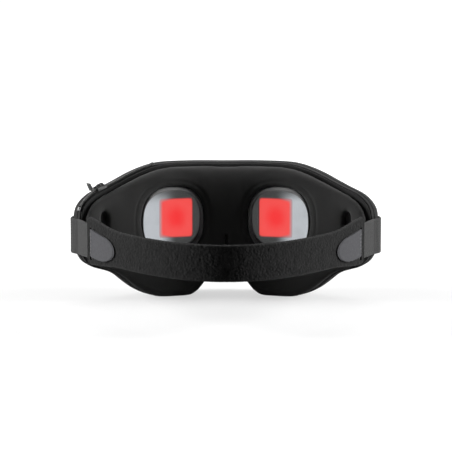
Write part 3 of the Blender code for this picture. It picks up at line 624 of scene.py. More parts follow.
black_plastic = moulded_finish("Black plastic", grey(0.012), 0.38, 0.5)
soft_black = moulded_finish("Eye frame plastic", grey(0.11), 0.4, 0.55, depth=0.012)
button_plastic = moulded_finish("Button plastic", grey(0.02), 0.3, 0.42, depth=0.01)
mark_grey = moulded_finish("Raised mark", grey(0.3), 0.5, 0.6, wear=0.1)
chassis_plastic = moulded_finish("Chassis plastic", grey(0.05), 0.5, 0.65, size=0.8)
zip_plastic = moulded_finish("Zip teeth", grey(0.012), 0.5, 0.65, size=0.3)
dark_metal = moulded_finish("Dark metal", grey(0.03), 0.25, 0.42, size=0.25, bare=grey(0.35), Metallic=1.0)
bright_metal = moulded_finish("Bright metal", grey(0.6), 0.22, 0.38, size=0.2, bare=grey(0.75), Metallic=1.0)
battery_foil = moulded_finish("Battery foil", grey(0.5), 0.3, 0.45, size=1.6, depth=0.1, Metallic=1.0)
ribbon_cable = moulded_finish("Ribbon cable", (0.35, 0.2, 0.05, 1.0), 0.35, 0.5, size=0.7)
white_plastic = moulded_finish("White plastic", grey(0.7), 0.4, 0.55)
circuit_board = board_finish()


# %% Lens, reflector and red light
def lens_finish():
    """Clear lens: thin glass that lets the glow through, with a faint haze in its roughness."""
    material, tree, inputs, vector = new_finish("Clear lens", grey(0.96, (0.98, 1.0, 1.0)), 0.06, IOR=1.12,
                                                Transmission_Weight=1.0)
    haze = noise_at(tree, vector, 0.25, 4.0)
    tree.links.new(ranged(tree, haze, 0.3, 0.7, 0.03, 0.12), inputs["Roughness"])
    return material


def reflector_finish():
    """White reflector with painted light: its emission is a painted glow, brightest towards the temple and
    dimmest by the nose, with painted shade near its top under the cushion's lip. Its base colour is darker in the
    same places."""
    material, tree, inputs, vector = new_finish("Reflector", grey(0.3), 0.5, flat=True, Emission_Strength=1.0)
    axes = axes_of(tree, vector)
    # Painted light and shade: this mask is brighter towards the temple and dim near the top, and it sets both the
    # emission and the base colour.
    templeward_painted_glow = ranged(tree, sums(tree, "ABSOLUTE", axes[0]), EYE_U - 7.0, EYE_U + 7.0, smooth=True)
    low = ranged(tree, axes[1], EYE_V + 21.0, EYE_V + 10.0, 0.12, 1.0, smooth=True)
    haze = sums(tree, "MULTIPLY_ADD", noise_at(tree, vector, 0.08, 3.0), 0.5, 0.72)
    painted_glow_share = sums(tree, "MULTIPLY", sums(tree, "MULTIPLY", templeward_painted_glow, low), haze)
    glow = blended(tree, painted_glow_share, grey(0.05), grey(0.5, (0.97, 1.0, 1.06)))
    tree.links.new(glow, inputs["Emission Color"])
    tree.links.new(blended(tree, painted_glow_share, grey(0.09), grey(0.22)), inputs["Base Color"])
    return material


LIGHT_HALF, LIGHT_V = (12.2, 14.2), EYE_V - 0.5
LIGHT_POWER = 14.0         # the squareness of the red window


def light_finish():
    """Red light window: deepest red in the middle and paler round it. A squared distance, of u and v to the power
    14, fades it at its edge, and on the temple side its rim glows grey: painted light that melts into the
    reflector's painted glow."""
    material, tree, inputs, vector = new_finish("Red light", (0.2, 0.02, 0.02, 1.0), 0.4, flat=True,
                                                Emission_Strength=1.0)
    axes = axes_of(tree, vector)
    across = sums(tree, "DIVIDE", sums(tree, "ABSOLUTE", axes[0]), LIGHT_HALF[0])
    up = sums(tree, "DIVIDE", sums(tree, "ABSOLUTE", axes[1]), LIGHT_HALF[1])
    reach, middle = (sums(tree, "POWER", sums(tree, "ADD", sums(tree, "POWER", across, power),
                                              sums(tree, "POWER", up, power)), 1.0 / power)
                     for power in (LIGHT_POWER, 2.0))
    core = ranged(tree, middle, 0.15, 0.85, smooth=True)
    red = blended(tree, core, (0.96, 0.036, 0.038, 1.0), (0.94, 0.085, 0.08, 1.0))
    templeward_painted_glow = ranged(tree, axes[0], 1.0, LIGHT_HALF[0], smooth=True)
    soft = ranged(tree, templeward_painted_glow, 0.0, 1.0, 0.9, 0.74)
    fade = ranged(tree, reach, soft, 1.02, smooth=True)
    # Painted light: past the red square, the window's rim glows grey on the temple side and blends into the
    # reflector's painted glow.
    painted_rim_glow = blended(tree, templeward_painted_glow, (0.1, 0.05, 0.05, 1.0), (0.4, 0.33, 0.35, 1.0))
    # Only what is seen straight or through the lens glows, so the red doesn't spill over the cup's wall.
    path = add(tree, "ShaderNodeLightPath").outputs
    bounced = sums(tree, "MINIMUM", sums(tree, "ADD", path["Diffuse Depth"], path["Glossy Depth"]), 1.0)
    glow = blended(tree, bounced, blended(tree, fade, red, painted_rim_glow), grey(0.0))
    tree.links.new(glow, inputs["Emission Color"])
    cells = add(tree, "ShaderNodeTexVoronoi", {"Vector": vector, "Scale": 0.4}).outputs[0]
    relief(tree, inputs, cells, 0.04)
    return material


clear_lens, reflector_white, red_light = lens_finish(), reflector_finish(), light_finish()
print("finishes:", len(bpy.data.materials))

# %% [markdown]
# ## The camera and the studio
# The camera looks at the wearer's side from ten degrees above. A long lens two metres away keeps the curve of
# the mask nearly free of perspective. Tall soft lights at both sides catch the temples and leave the middle
# dark, and a soft light above draws the rolled rim.

# %% Camera, floor and lights
VIEW_TILT = math.radians(10.0)
VIEW_DISTANCE = 2.0
VIEW_WIDTH = 0.32092       # metres across the frame at the mask
SENSOR_WIDTH = 36.0

camera = linked(bpy.data.objects.new("camera", bpy.data.cameras.new("camera")))
aim = Vector((0.0, MASK_Y * MM - 0.005, 0.0458))
camera.location = aim - Vector((0.0, math.cos(VIEW_TILT), -math.sin(VIEW_TILT))) * VIEW_DISTANCE
camera.rotation_euler = (math.pi / 2 - VIEW_TILT, 0.0, 0.0)
camera.data.sensor_width = SENSOR_WIDTH
camera.data.lens = SENSOR_WIDTH * VIEW_DISTANCE / VIEW_WIDTH
camera.data.shift_x, camera.data.shift_y = 0.000442, 0.011062
bpy.context.scene.camera = camera
bpy.context.scene.view_settings.view_transform = "Standard"


def studio_sweep():
    """A wide grid that rises as the square of the distance past six metres. Rays from the camera see it glow
    nearly white, with a painted shadow where the glow is dimmer near the mask's middle, while the mask gets only
    a dim bounce from it."""
    x, y = np.meshgrid(np.linspace(-9.0, 9.0, 7), np.linspace(-9.0, 9.0, 49), indexing="ij")
    back = np.clip(np.hypot(x, y) - 6.0, 0.0, None)
    points = np.stack([x, y, -0.0004 + 0.12 * back ** 2], axis=-1)
    mesh = bpy.data.meshes.new("floor")
    mesh.from_pydata(points.reshape(-1, 3).tolist(), [], grid_faces(7, 49).tolist())
    mesh.shade_smooth()
    material, tree, inputs, vector = new_finish("Studio floor", grey(0.2), 0.4, Specular_IOR_Level=0.15,
                                                Emission_Color=grey(1.0))
    seen = add(tree, "ShaderNodeLightPath").outputs["Is Camera Ray"]
    away = add(tree, "ShaderNodeVectorMath", {0: vector}, operation="LENGTH").outputs["Value"]
    # Painted shadow: the glow seen by the camera is 0.6 within 150 mm of the middle and eases to full past 420
    # mm.
    camera_glow_painted_shadow = ranged(tree, away, 150.0, 420.0, 0.6, 1.0, smooth=True)
    tree.links.new(sums(tree, "MULTIPLY", seen, camera_glow_painted_shadow), inputs["Emission Strength"])
    mesh.materials.append(material)
    linked(bpy.data.objects.new("floor", mesh))


def soft_light(name, place, size, power):
    """A rectangular lamp that faces the mask's middle."""
    lamp = bpy.data.lights.new(name, "AREA")
    lamp.shape, lamp.size, lamp.size_y, lamp.energy = "RECTANGLE", size[0], size[1], power
    thing = linked(bpy.data.objects.new(name, lamp))
    thing.location = place
    thing.rotation_euler = (Vector((0.0, 0.05, 0.05)) - Vector(place)).to_track_quat("-Z", "Y").to_euler()


def studio_world():
    """White where the camera looks; as a light it is dim in front of the mask and a little stronger
    behind it."""
    world = bpy.data.worlds.new("studio")
    world.use_nodes = True
    tree = world.node_tree
    facing = axes_of(tree, add(tree, "ShaderNodeTexCoord").outputs["Generated"])
    behind = ranged(tree, facing[1], -0.2, 0.4, 0.02, 0.25)
    seen = add(tree, "ShaderNodeLightPath").outputs["Is Camera Ray"]
    sky = tree.nodes["Background"].inputs
    tree.links.new(sums(tree, "MAXIMUM", behind, seen), sky["Strength"])
    sky["Color"].default_value = grey(1.0)
    bpy.context.scene.world = world


studio_sweep()
studio_world()
for name, side in SIDES:
    soft_light(f"{name}_box", (1.4 * side, -0.02, 0.42), (0.4, 0.9), 72.0)
soft_light("top_box", (0.0, 0.35, 1.5), (1.6, 1.0), 20.0)

# %% [markdown]
# ## The shell
# On the real mask this is moulded foam with cloth over both faces. Its skin is one profile carried round the
# outline: from a pole in the middle of the front, over the swell, round the edge, past a piping bead, and
# back inside. The rings shrink to one point because every part of the outline can be seen from the middle.

# %% Shell skin
COVER_FRONT_W, COVER_BACK_W, COVER_WALL = 16.5, 14.3, 2.2
MIDDLE = np.array([0.0, 55.0])
DEEP = 14.0                # past this depth the rings are simply drawn in to the middle


def toward_middle(loop, share):
    """The loop drawn in to a share of its distance from the middle."""
    return MIDDLE + (loop - MIDDLE) * share


def shell_chain():
    """The profile: plain middle, a pressed groove 11 mm from the edge, the rolled edge, the bead and the
    inside."""
    chain = []
    deep = inset(SHELL_RIM, DEEP)
    for share in np.linspace(0.04, 0.97, 22):
        loop = toward_middle(deep, share)
        chain.append((loop, COVER_FRONT_W - 0.25 * (1.0 - share)))
    for depth in np.arange(DEEP, 7.4, -0.42):
        groove = 0.55 * bump(depth - 11.0, 0.75)
        chain.append((inset(SHELL_RIM, depth), COVER_FRONT_W - groove + 0.15 * ease((14 - depth) / 3)))
    roll = catmull(np.array([(7.2, 16.52), (4.6, 15.6), (2.0, 13.1), (0.5, 9.7), (0.0, 6.0), (0.0, 4.2)]), 5)
    chain += [(inset(SHELL_RIM, depth), w) for depth, w in roll]
    bead = np.arange(9) / 8.0 * math.pi
    chain += [(inset(SHELL_RIM, -0.36 * math.sin(t)), 2.6 + 0.9 * math.cos(t)) for t in bead]
    chain += [(inset(SHELL_RIM, depth), w) for depth, w in
              ((0.0, 0.6), (0.0, -1.2), (0.05, -2.4), (0.35, -2.9), (1.0, -3.0), (1.8, -2.95), (2.15, -2.6),
               (COVER_WALL, 0.0), (COVER_WALL, 6.0), (2.7, 9.0), (4.0, 11.6), (6.2, 13.6), (9.0, COVER_BACK_W),
               (DEEP, COVER_BACK_W))]
    chain += [(toward_middle(deep, share), COVER_BACK_W) for share in (0.8, 0.5, 0.25, 0.05)]
    return chain


chain = shell_chain()
piece("cover_skin", skin(raised(chain, bend_cover)), "mask", shell_cloth, replaces=["front_cover"],
      flat=np.vstack([flat_of(chain), [(0, 55, 16), (0, 55, 14)]]), crease=60)


# %% [markdown]
# ## Stitches
# A stitch is a tiny capsule of thread. One is made as a formula, and copies are laid along a seam in one go.

# %% Stitch capsule and seams
def capsule(length, width, rings=5, sides=6):
    """A capsule: along x it is minus cos t times half the length, and its radius is the width's half
    times sin t."""
    t = np.linspace(0.25, math.pi - 0.25, rings)[:, None]
    turn = np.arange(sides)[None, :] * 2 * math.pi / sides
    x = np.broadcast_to(-np.cos(t) * length / 2, (rings, sides))
    radius = width / 2 * np.sin(t) ** 0.6
    return skin(np.stack([x, radius * np.cos(turn), radius * np.sin(turn)], axis=-1) * MM)


def stitched(curve, out, pitch, length, width):
    """Stitches at equal steps along a curve in metres, lying in the cloth whose outward directions are
    out."""
    total = run_length(curve)[-1]
    marks = np.arange(0.5, max(1.0, total / (pitch * MM) - 0.5)) * pitch * MM
    seats = along(curve, marks)
    ahead = along(curve, np.minimum(marks + 0.4 * MM, total)) - along(curve, np.maximum(marks - 0.4 * MM, 0.0))
    lengths = run_length(curve)
    facing = np.stack([np.interp(marks, lengths, out[:, k]) for k in range(3)], axis=1)
    return repeat(*capsule(length, width), seats, ahead, facing)


def outward(points):
    """Straight out from the head: x and y from the bend's axis, level."""
    facing = points - np.array([0.0, (MASK_Y - BEND_RADIUS) * MM, 0.0])
    facing[:, 2] = 0.0
    return facing / np.linalg.norm(facing, axis=1, keepdims=True)


groove = inset(SHELL_RIM, 9.3)
groove = np.vstack([groove, groove[:1]])
seam = bend_cover(groove[:, 0], COVER_FRONT_W + 0.24, groove[:, 1])
piece("cover_topstitch", stitched(seam, outward(seam), 3.4, 2.5, 0.62), "mask", thread_black)

# %% [markdown]
# ## The cushion
# The wearer's side is foam under a stretch knit. It starts as a closed solid with the eye openings and temple
# slots cut out, is remeshed into even squares, and is blown up a little by cloth pressure while its back
# stays glued down. How far any point may swell is capped. The sewn crease over the nose is pressed in last,
# because remeshing would wipe out anything that narrow.

# %% Cushion blank
PAD_FACE_W, PAD_BACK_W = -14.0, -5.5


def blank(name, shape):
    """A bare mesh object that stays out of the model once it has been used."""
    return linked(bpy.data.objects.new(name, outward_mesh(name, shape)))


def baked(thing):
    """The mesh with its modifiers done; the object is then bare again."""
    graph = bpy.context.evaluated_depsgraph_get()
    mesh = bpy.data.meshes.new_from_object(thing.evaluated_get(graph))
    thing.modifiers.clear()
    thing.data = mesh
    return mesh


def pad_blank():
    """The cushion before it swells: a rolled profile round the outline, with its openings cut right
    through."""
    deep = inset(RIM, DEEP)
    chain = [(toward_middle(deep, share), PAD_FACE_W + 0.3) for share in np.linspace(0.04, 0.97, 18)]
    roll = catmull(np.array([(11.0, -13.7), (5.6, -13.62), (2.9, -13.1), (1.1, -11.9), (0.45, -10.3),
                             (0.45, -7.6), (0.9, PAD_BACK_W)]), 4)
    chain += [(inset(RIM, depth), w) for depth, w in roll]
    chain += [(inset(RIM, 8.0), PAD_BACK_W)]
    chain += [(toward_middle(deep, share), PAD_BACK_W) for share in (0.97, 0.5, 0.05)]
    pad = blank("pad_blank", skin(raised(chain, bend)))
    cutters = []
    for _, side in SIDES:
        opening = [(oval(CUP_U * side, EYE_V, 24.1 + flare, 23.9 + flare, EYE_POWER), w) for flare, w in
                   ((0.0, -3.0), (0.0, -11.0), (0.25, -12.4), (0.9, -13.4), (1.9, -14.6), (2.2, -17.0))]
        slot = oval(95.8 * side, 51.5, 2.9, 13.6, 5.0, 48)
        cutters += [skin(raised(opening, bend)), skin(raised([(slot, -3.0), (slot, -17.0)], bend))]
    for number, cutter in enumerate(cutters):
        tool = blank(f"pad_tool_{number}", cutter)
        cut = pad.modifiers.new("cut", "BOOLEAN")
        cut.operation, cut.object, cut.solver = "DIFFERENCE", tool, "EXACT"
        baked(pad)
        bpy.data.objects.remove(tool)
    return pad


def mesh_points(mesh):
    points = np.empty(len(mesh.vertices) * 3)
    mesh.vertices.foreach_get("co", points)
    return points.reshape(-1, 3)


def relaxed(mesh, rounds):
    """Each point moves halfway to the mean of its neighbours, a few times over."""
    pairs = np.empty(len(mesh.edges) * 2, dtype=int)
    mesh.edges.foreach_get("vertices", pairs)
    a, b = pairs.reshape(-1, 2).T
    points = mesh_points(mesh)
    count = np.bincount(np.concatenate([a, b]), minlength=len(points))[:, None]
    for _ in range(rounds):
        total = np.zeros_like(points)
        np.add.at(total, a, points[b])
        np.add.at(total, b, points[a])
        points = 0.5 * points + 0.5 * total / count
    mesh.vertices.foreach_set("co", points.ravel())
    mesh.update()


pad = pad_blank()
remesh = pad.modifiers.new("remesh", "REMESH")
remesh.mode, remesh.voxel_size = "VOXEL", 1.5 * MM
relaxed(baked(pad), 4)
print("cushion blank:", len(pad.data.vertices), "points")


# %% Swell the cushion
def swell_by_cloth(thing, glued, frames, cap_mm):
    """Blow the mesh up with cloth pressure, then cap how far each point went."""
    start = mesh_points(thing.data)
    held = thing.vertex_groups.new(name="glued")
    held.add([int(k) for k in np.flatnonzero(glued)], 1.0, "REPLACE")
    cloth = thing.modifiers.new("cloth", "CLOTH")
    rules = cloth.settings
    rules.quality, rules.mass = 5, 0.3
    rules.tension_stiffness = rules.compression_stiffness = rules.shear_stiffness = 15.0
    rules.bending_stiffness = 0.5
    rules.use_pressure, rules.uniform_pressure_force = True, 4.0
    rules.vertex_group_mass = "glued"
    rules.effector_weights.gravity = 0.0
    scene = bpy.context.scene
    for step in range(1, frames + 1):
        scene.frame_set(step)
    graph = bpy.context.evaluated_depsgraph_get()
    moved = mesh_points(thing.evaluated_get(graph).data) - start
    far = np.linalg.norm(moved, axis=1, keepdims=True)
    cap = cap_mm * MM
    moved *= np.tanh(far / cap) * cap / np.maximum(far, 1e-9)
    thing.modifiers.clear()
    thing.vertex_groups.clear()
    thing.data.vertices.foreach_set("co", (start + moved).ravel())
    scene.frame_set(1)
    print("cushion swelled up to", round(float(np.linalg.norm(moved, axis=1).max()) / MM, 2), "mm")


PAD_SWELL = 0.9
swell_by_cloth(pad, unbend(mesh_points(pad.data))[:, 1] > PAD_BACK_W - 1.2, 20, PAD_SWELL)
relaxed(pad.data, 2)


# %% Press in the crease and finish the cushion
def press_pad(mesh):
    """Grooves as bells across their lines: the nose crease, and a shallow line sewn round each eye
    opening."""
    flat = unbend(mesh_points(mesh))
    u, w, v = flat.T
    face = ease((-8.0 - w) / 3.0)
    crease = 4.2 * bump(u, 1.15) * ease((8.6 - np.abs(v - 37.2)) / 2.0)
    eye = (np.abs(np.abs(u) - EYE_U) / 29.6) ** EYE_POWER + (np.abs(v - EYE_V) / 28.2) ** EYE_POWER
    sewn = 0.35 * bump(eye ** (1 / EYE_POWER) - 1.0, 0.03)
    dimple = 0.12 * np.sin(u * 0.23 + 1.1) * np.sin(v * 0.19 + 0.4)
    w = w + face * (crease + sewn + dimple)
    mesh.vertices.foreach_set("co", bend(u, w, v).ravel())
    keep_value(mesh, "flat", "FLOAT_VECTOR", np.stack([u, v, w], axis=1))
    mesh.update()


finer = pad.modifiers.new("finer", "SUBSURF")
finer.levels = finer.render_levels = 1
pad_mesh = baked(pad)
press_pad(pad_mesh)
bpy.data.objects.remove(pad)
cushion = finished("face_cushion", pad_mesh, "mask", pad_knit, replaces=["face_pad"])

# %% [markdown]
# ## The zip
# A tape is sewn all round between shell and cushion. Its teeth show on the left, where the slider rests, so
# they are modelled one by one: a single rounded block, repeated along the seam and leaned left and right in
# turn.

# %% Tape, teeth and stops
tape_chain = [(inset(SHELL_RIM, depth), w) for depth, w in
              ((1.0, -3.45), (0.55, -3.8), (0.45, -4.25), (0.55, -4.7), (1.0, -5.05))]
tape_chain += [(inset(RIM, 5.5), -5.1), (inset(RIM, 5.5), -3.4)]
piece("zip_tape_ring", skin(raised(tape_chain, bend), again=True), "mask", tape_twill, replaces=["zip_tape"],
      flat=flat_of(tape_chain))

seam_line = catmull(OUTLINE[3:14] * (-1.0, 1.0), 14)
seam_lengths = run_length(seam_line)
seam_ahead = np.gradient(seam_line, seam_lengths, axis=0)
seam_out = np.stack([seam_ahead[:, 1], -seam_ahead[:, 0]], axis=1)
seam_line = seam_line + seam_out * growth(*seam_line.T)[:, None]
seam_lengths = run_length(seam_line)


def beside(length, rise):
    """Flat points at a length along the zip's seam, raised off the shell's wall."""
    moved = seam_line[:, None, :] + seam_out[:, None, :] * np.atleast_1d(rise)
    return np.stack([np.interp(length, seam_lengths, moved[:, 0, k]) for k in (0, 1)], axis=-1)


def beside_each(length, rise):
    """As beside, with its own rise for every length."""
    foot, out = beside(length, 0.0), beside(length, 1.0)
    return foot + (out - foot) * rise[:, None]


def on_seam(length, rise, w):
    flat = beside(length, rise)
    return bend(flat[:, 0], w, flat[:, 1])


def tooth(length, width, height):
    """A rounded block: a squared oval in plan, with its top ring drawn in."""
    levels = ((-0.5, 0.8), (-0.3, 1.0), (0.3, 1.0), (0.5, 0.7))
    turn = oval(0.0, 0.0, length / 2, width / 2, 4.0, 8)
    rings = [np.column_stack([turn * share, np.full(8, level * height)]) for level, share in levels]
    return skin(np.stack(rings) * MM)


TOOTH_PITCH, TEETH_END = 0.8, 65.5
TEETH_W = -1.2
marks = np.arange(4.0, TEETH_END, TOOTH_PITCH)
lean = np.where(np.arange(len(marks)) % 2 == 0, 1.0, -1.0)
teeth_at = on_seam(marks, 0.95, TEETH_W + 0.45 * lean)
teeth_ahead = on_seam(marks + 0.3, 1.15, TEETH_W) - on_seam(marks - 0.3, 1.15, TEETH_W)
teeth_out = on_seam(marks, 2.0, TEETH_W) - on_seam(marks, 1.0, TEETH_W)
piece("zip_teeth_row", repeat(*tooth(0.66, 1.7, 1.15), teeth_at, teeth_ahead, teeth_out), "mask", zip_plastic,
      replaces=["zip_teeth"])

strip_s, strip_w = np.meshgrid(np.arange(2.5, TEETH_END + 1.0, 0.8), np.linspace(-2.7, 0.5, 9), indexing="ij")
strip_low = beside(strip_s.ravel(), 0.05)
strip_rise = 0.1 + 0.4 * ease((strip_s - 2.5) / 6.0) * ease((TEETH_END - strip_s) / 6.0)
strip_top = beside_each(strip_s.ravel(), strip_rise.ravel())
strip = slab(*(bend(face[:, 0], strip_w.ravel(), face[:, 1]).reshape(*strip_s.shape, 3)
               for face in (strip_top, strip_low)))
strip_flat = np.stack([strip_s, strip_w, np.zeros_like(strip_s)], axis=-1).reshape(-1, 3)
piece("zip_strip", strip, "mask", tape_twill, flat=strip_flat[strip[2]])


# %% [markdown]
# ## Softened metal and plastic
# The slider, its pull, the stops, the pod and the charging port already have the right shape in the frame. A
# copy of each is merged into one closed mesh and its sharp edges are beveled, because no real edge is a
# knife.

# %% Bevel copies of stiff parts
def softened(name, node, body, finish, width_mm, segments=2, crease=40):
    """A copy of a CAD node with its corners merged, its flat faces joined and its edges rounded."""
    bm = bmesh.new()
    bm.from_mesh(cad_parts[node].data)
    bmesh.ops.remove_doubles(bm, verts=bm.verts, dist=1e-6)
    bmesh.ops.dissolve_limit(bm, angle_limit=math.radians(1.5), verts=bm.verts, edges=bm.edges)
    mesh = bpy.data.meshes.new(name)
    bm.to_mesh(mesh)
    bm.free()
    thing = finished(name, mesh, body, finish, crease, [node])
    bevel = thing.modifiers.new("round", "BEVEL")
    bevel.width, bevel.segments, bevel.angle_limit = width_mm * MM, segments, math.radians(30.0)
    bevel.harden_normals = True
    return thing


softened("zip_slider_soft", "zip_slider", "zip_slider", dark_metal, 0.22)
softened("zip_pull_soft", "zip_pull", "zip_pull", dark_metal, 0.18)
softened("zip_stop_upper", "zip_top_stop", "mask", zip_plastic, 0.3)
softened("zip_stop_lower", "zip_bottom_stop", "mask", zip_plastic, 0.3)
softened("pod_case", "pod_housing", "mask", black_plastic, 0.45, 3)
softened("port_rim", "port_shell", "mask", bright_metal, 0.08)

# %% [markdown]
# ## The eyes
# Behind each opening sit a dark cup, a clear lens, a pale reflector and a square red light. Each is a stack
# of squared ovals: the power in the oval's formula turns a circle into the softly squared opening of the real
# mask.

# %% Cups, lenses, reflectors and lights
def eye_rings(side, steps):
    """Rings at (half width, half height, drop, w) about an eye cup's middle."""
    return [(oval(CUP_U * side, EYE_V - drop, half_u, half_v, EYE_POWER, 128), w)
            for half_u, half_v, drop, w in steps]


CUP = ((25.6, 24.7, 0.0, 1.2), (25.6, 24.7, 0.0, -4.7), (24.6, 24.2, 0.0, -5.1), (24.0, 23.8, 0.0, -6.0),
       (24.0, 23.8, 0.0, -11.0), (23.8, 23.5, 0.1, -11.6), (23.4, 22.4, 0.7, -12.0),
       (23.2, 21.9, CUP_DROP, -11.6),
       (23.1, 21.7, CUP_DROP, -10.6), (23.1, 21.7, CUP_DROP, -7.9), (22.7, 21.3, CUP_DROP, -7.6),
       (22.7, 21.3, CUP_DROP, -6.6), (23.1, 21.7, CUP_DROP, -6.3), (23.1, 21.7, CUP_DROP, -3.6),
       (23.0, 21.6, CUP_DROP, -1.7), (22.7, 21.4, CUP_DROP, -1.5), (22.3, 21.0, CUP_DROP, -1.3),
       (22.3, 21.0, CUP_DROP, 1.2))
for name, side in SIDES:
    cup = eye_rings(side, CUP)
    piece(f"eye_cup_{name}", skin(raised(cup, bend), again=True), "mask", soft_black, crease=50,
          replaces=[f"eye_frame_{name}"])

    share = np.sin(np.linspace(0.06, math.pi / 2, 12))
    lens = eye_rings(side, [(22.9 * s, 21.5 * s, CUP_DROP, -3.4) for s in share[:-1]]
                     + [(22.7, 21.3, CUP_DROP, -3.4), (22.9, 21.5, CUP_DROP, -3.2),
                        (22.9, 21.5, CUP_DROP, -2.1), (22.7, 21.3, CUP_DROP, -1.9)]
                     + [(22.9 * s, 21.5 * s, CUP_DROP, -1.9) for s in share[-2::-1]])
    piece(f"eye_lens_{name}", skin(raised(lens, bend)), "mask", clear_lens, crease=50,
          replaces=[f"lens_{name}"])

    hole = oval(LIGHT_U * side, LIGHT_V, LIGHT_HALF[0] + 0.05, LIGHT_HALF[1] + 0.05, LIGHT_POWER, 128)
    rim = oval(EYE_U * side, EYE_V, 24.6, 23.4, EYE_POWER, 128)
    spread = np.linspace(0.0, 1.0, 14)
    dish = [(hole + (rim - hole) * s, 1.3 + 0.35 * s ** 2) for s in spread]
    dish += [(hole + (rim - hole) * s, 2.75 - 0.2 * s) for s in spread[::-1]]
    piece(f"eye_reflector_{name}", skin(raised(dish, bend), again=True), "mask", reflector_white, crease=60,
          replaces=[f"reflector_{name}"], flat=flat_of(dish))

    put = placed(LIGHT_U * side, LIGHT_V)
    window = [(oval(0.0, 0.0, LIGHT_HALF[0] * s, LIGHT_HALF[1] * s, 2.0 + (LIGHT_POWER - 2.0) * s, 64),
               1.25 - 0.15 * (1.0 - s)) for s in np.linspace(0.05, 0.95, 14)]
    window += [(oval(0.0, 0.0, LIGHT_HALF[0] * s, LIGHT_HALF[1] * s, LIGHT_POWER, 64), w)
               for s, w in ((0.99, 1.35), (1.0, 1.6), (1.0, 2.8), (0.98, 2.9), (0.5, 2.9), (0.05, 2.9))]
    piece(f"eye_light_{name}", skin(raised(window, put)), "mask", red_light, crease=50,
          replaces=[f"light_window_{name}"],
          flat=np.vstack([flat_of(window), [(0, 0, 1), (0, 0, 3)]]) * (side, 1.0, 1.0))

# %% [markdown]
# ## The strap
# A strap is a ribbon standing on a plan curve. Length s, height z and outward offset n place every point, so
# the band, its slots, the webbing through them and the tabs on top of them all use the same two numbers.

# %% Ribbons on a plan curve
def ribbon(plan, s, n, z):
    """The plan curve's point at length s, pushed out by n along its normal, at height z."""
    total = run_length(plan)[-1]
    ahead = along(plan, np.minimum(s + 0.6, total)) - along(plan, np.maximum(s - 0.6, 0.0))
    ahead /= np.linalg.norm(ahead, axis=-1, keepdims=True)
    at = along(plan, s)
    x = at[..., 0] - ahead[..., 1] * n
    y = at[..., 1] + ahead[..., 0] * n + MASK_Y
    return np.stack(np.broadcast_arrays(x, y, z), axis=-1) * MM


def mirrored(points, side):
    return points * (side, 1.0, 1.0)


def matted(s, z, seed, finest, coarsest, waves=36):
    """Uneven cloth: a sum of sines in random directions, each as tall as the root of its length; about
    -1 to 1."""
    draw = np.random.default_rng(seed)
    total = np.zeros(np.broadcast(s, z).shape)
    for length, way, phase in zip(np.geomspace(finest, coarsest, waves), draw.uniform(0, math.pi, waves),
                                  draw.uniform(0, 2 * math.pi, waves)):
        turn = (s * math.cos(way) + z * math.sin(way)) * 2 * math.pi / length + phase
        total += np.sin(turn) * math.sqrt(length / coarsest)
    return total / np.abs(total).max()


def rounded(edge, radius, least=0.25):
    """Share of the full thickness near an edge: a quarter circle of that radius."""
    near = 1.0 - np.clip(edge / radius, 0.0, 1.0)
    return least + (1.0 - least) * np.sqrt(1.0 - near ** 2)


def end_rounding(s, total, corner):
    """How much the corner's arc takes off the height near a ribbon's ends."""
    near = np.clip(corner - np.minimum(s, total - s), 0.0, corner)
    return corner - np.sqrt(corner ** 2 - near ** 2)


# %% The head strap
STRAP_END_X, STRAP_THICK = 94.8, 2.2
STRAP_Z, STRAP_END_Z = (37.2, 61.9), (33.5, 67.0)
SLOT_Z, SLOT_S = (36.8, 59.7), (4.4, 8.4)
strap_x = np.linspace(STRAP_END_X, -STRAP_END_X, 481)
STRAP_PLAN = np.stack([strap_x, -150.0 + 0.0095 * strap_x ** 2], axis=1)
STRAP_LENGTH = run_length(STRAP_PLAN)[-1]


def strap_heights(s):
    """Lower and upper edge: level along the middle, easing out to the broad ends with their round corners."""
    near = ease(1.0 - np.minimum(s, STRAP_LENGTH - s) / 46.0)
    corner = end_rounding(s, STRAP_LENGTH, 5.0)
    low = STRAP_Z[0] + (STRAP_END_Z[0] - STRAP_Z[0]) * near + corner
    high = STRAP_Z[1] + (STRAP_END_Z[1] - STRAP_Z[1]) * near - corner
    return low, high


def flat_grid(s, z):
    """Flat millimetres of a ribbon's grid: length, height and nothing."""
    return np.stack([s, z, np.zeros_like(s)], axis=-1).reshape(-1, 3)


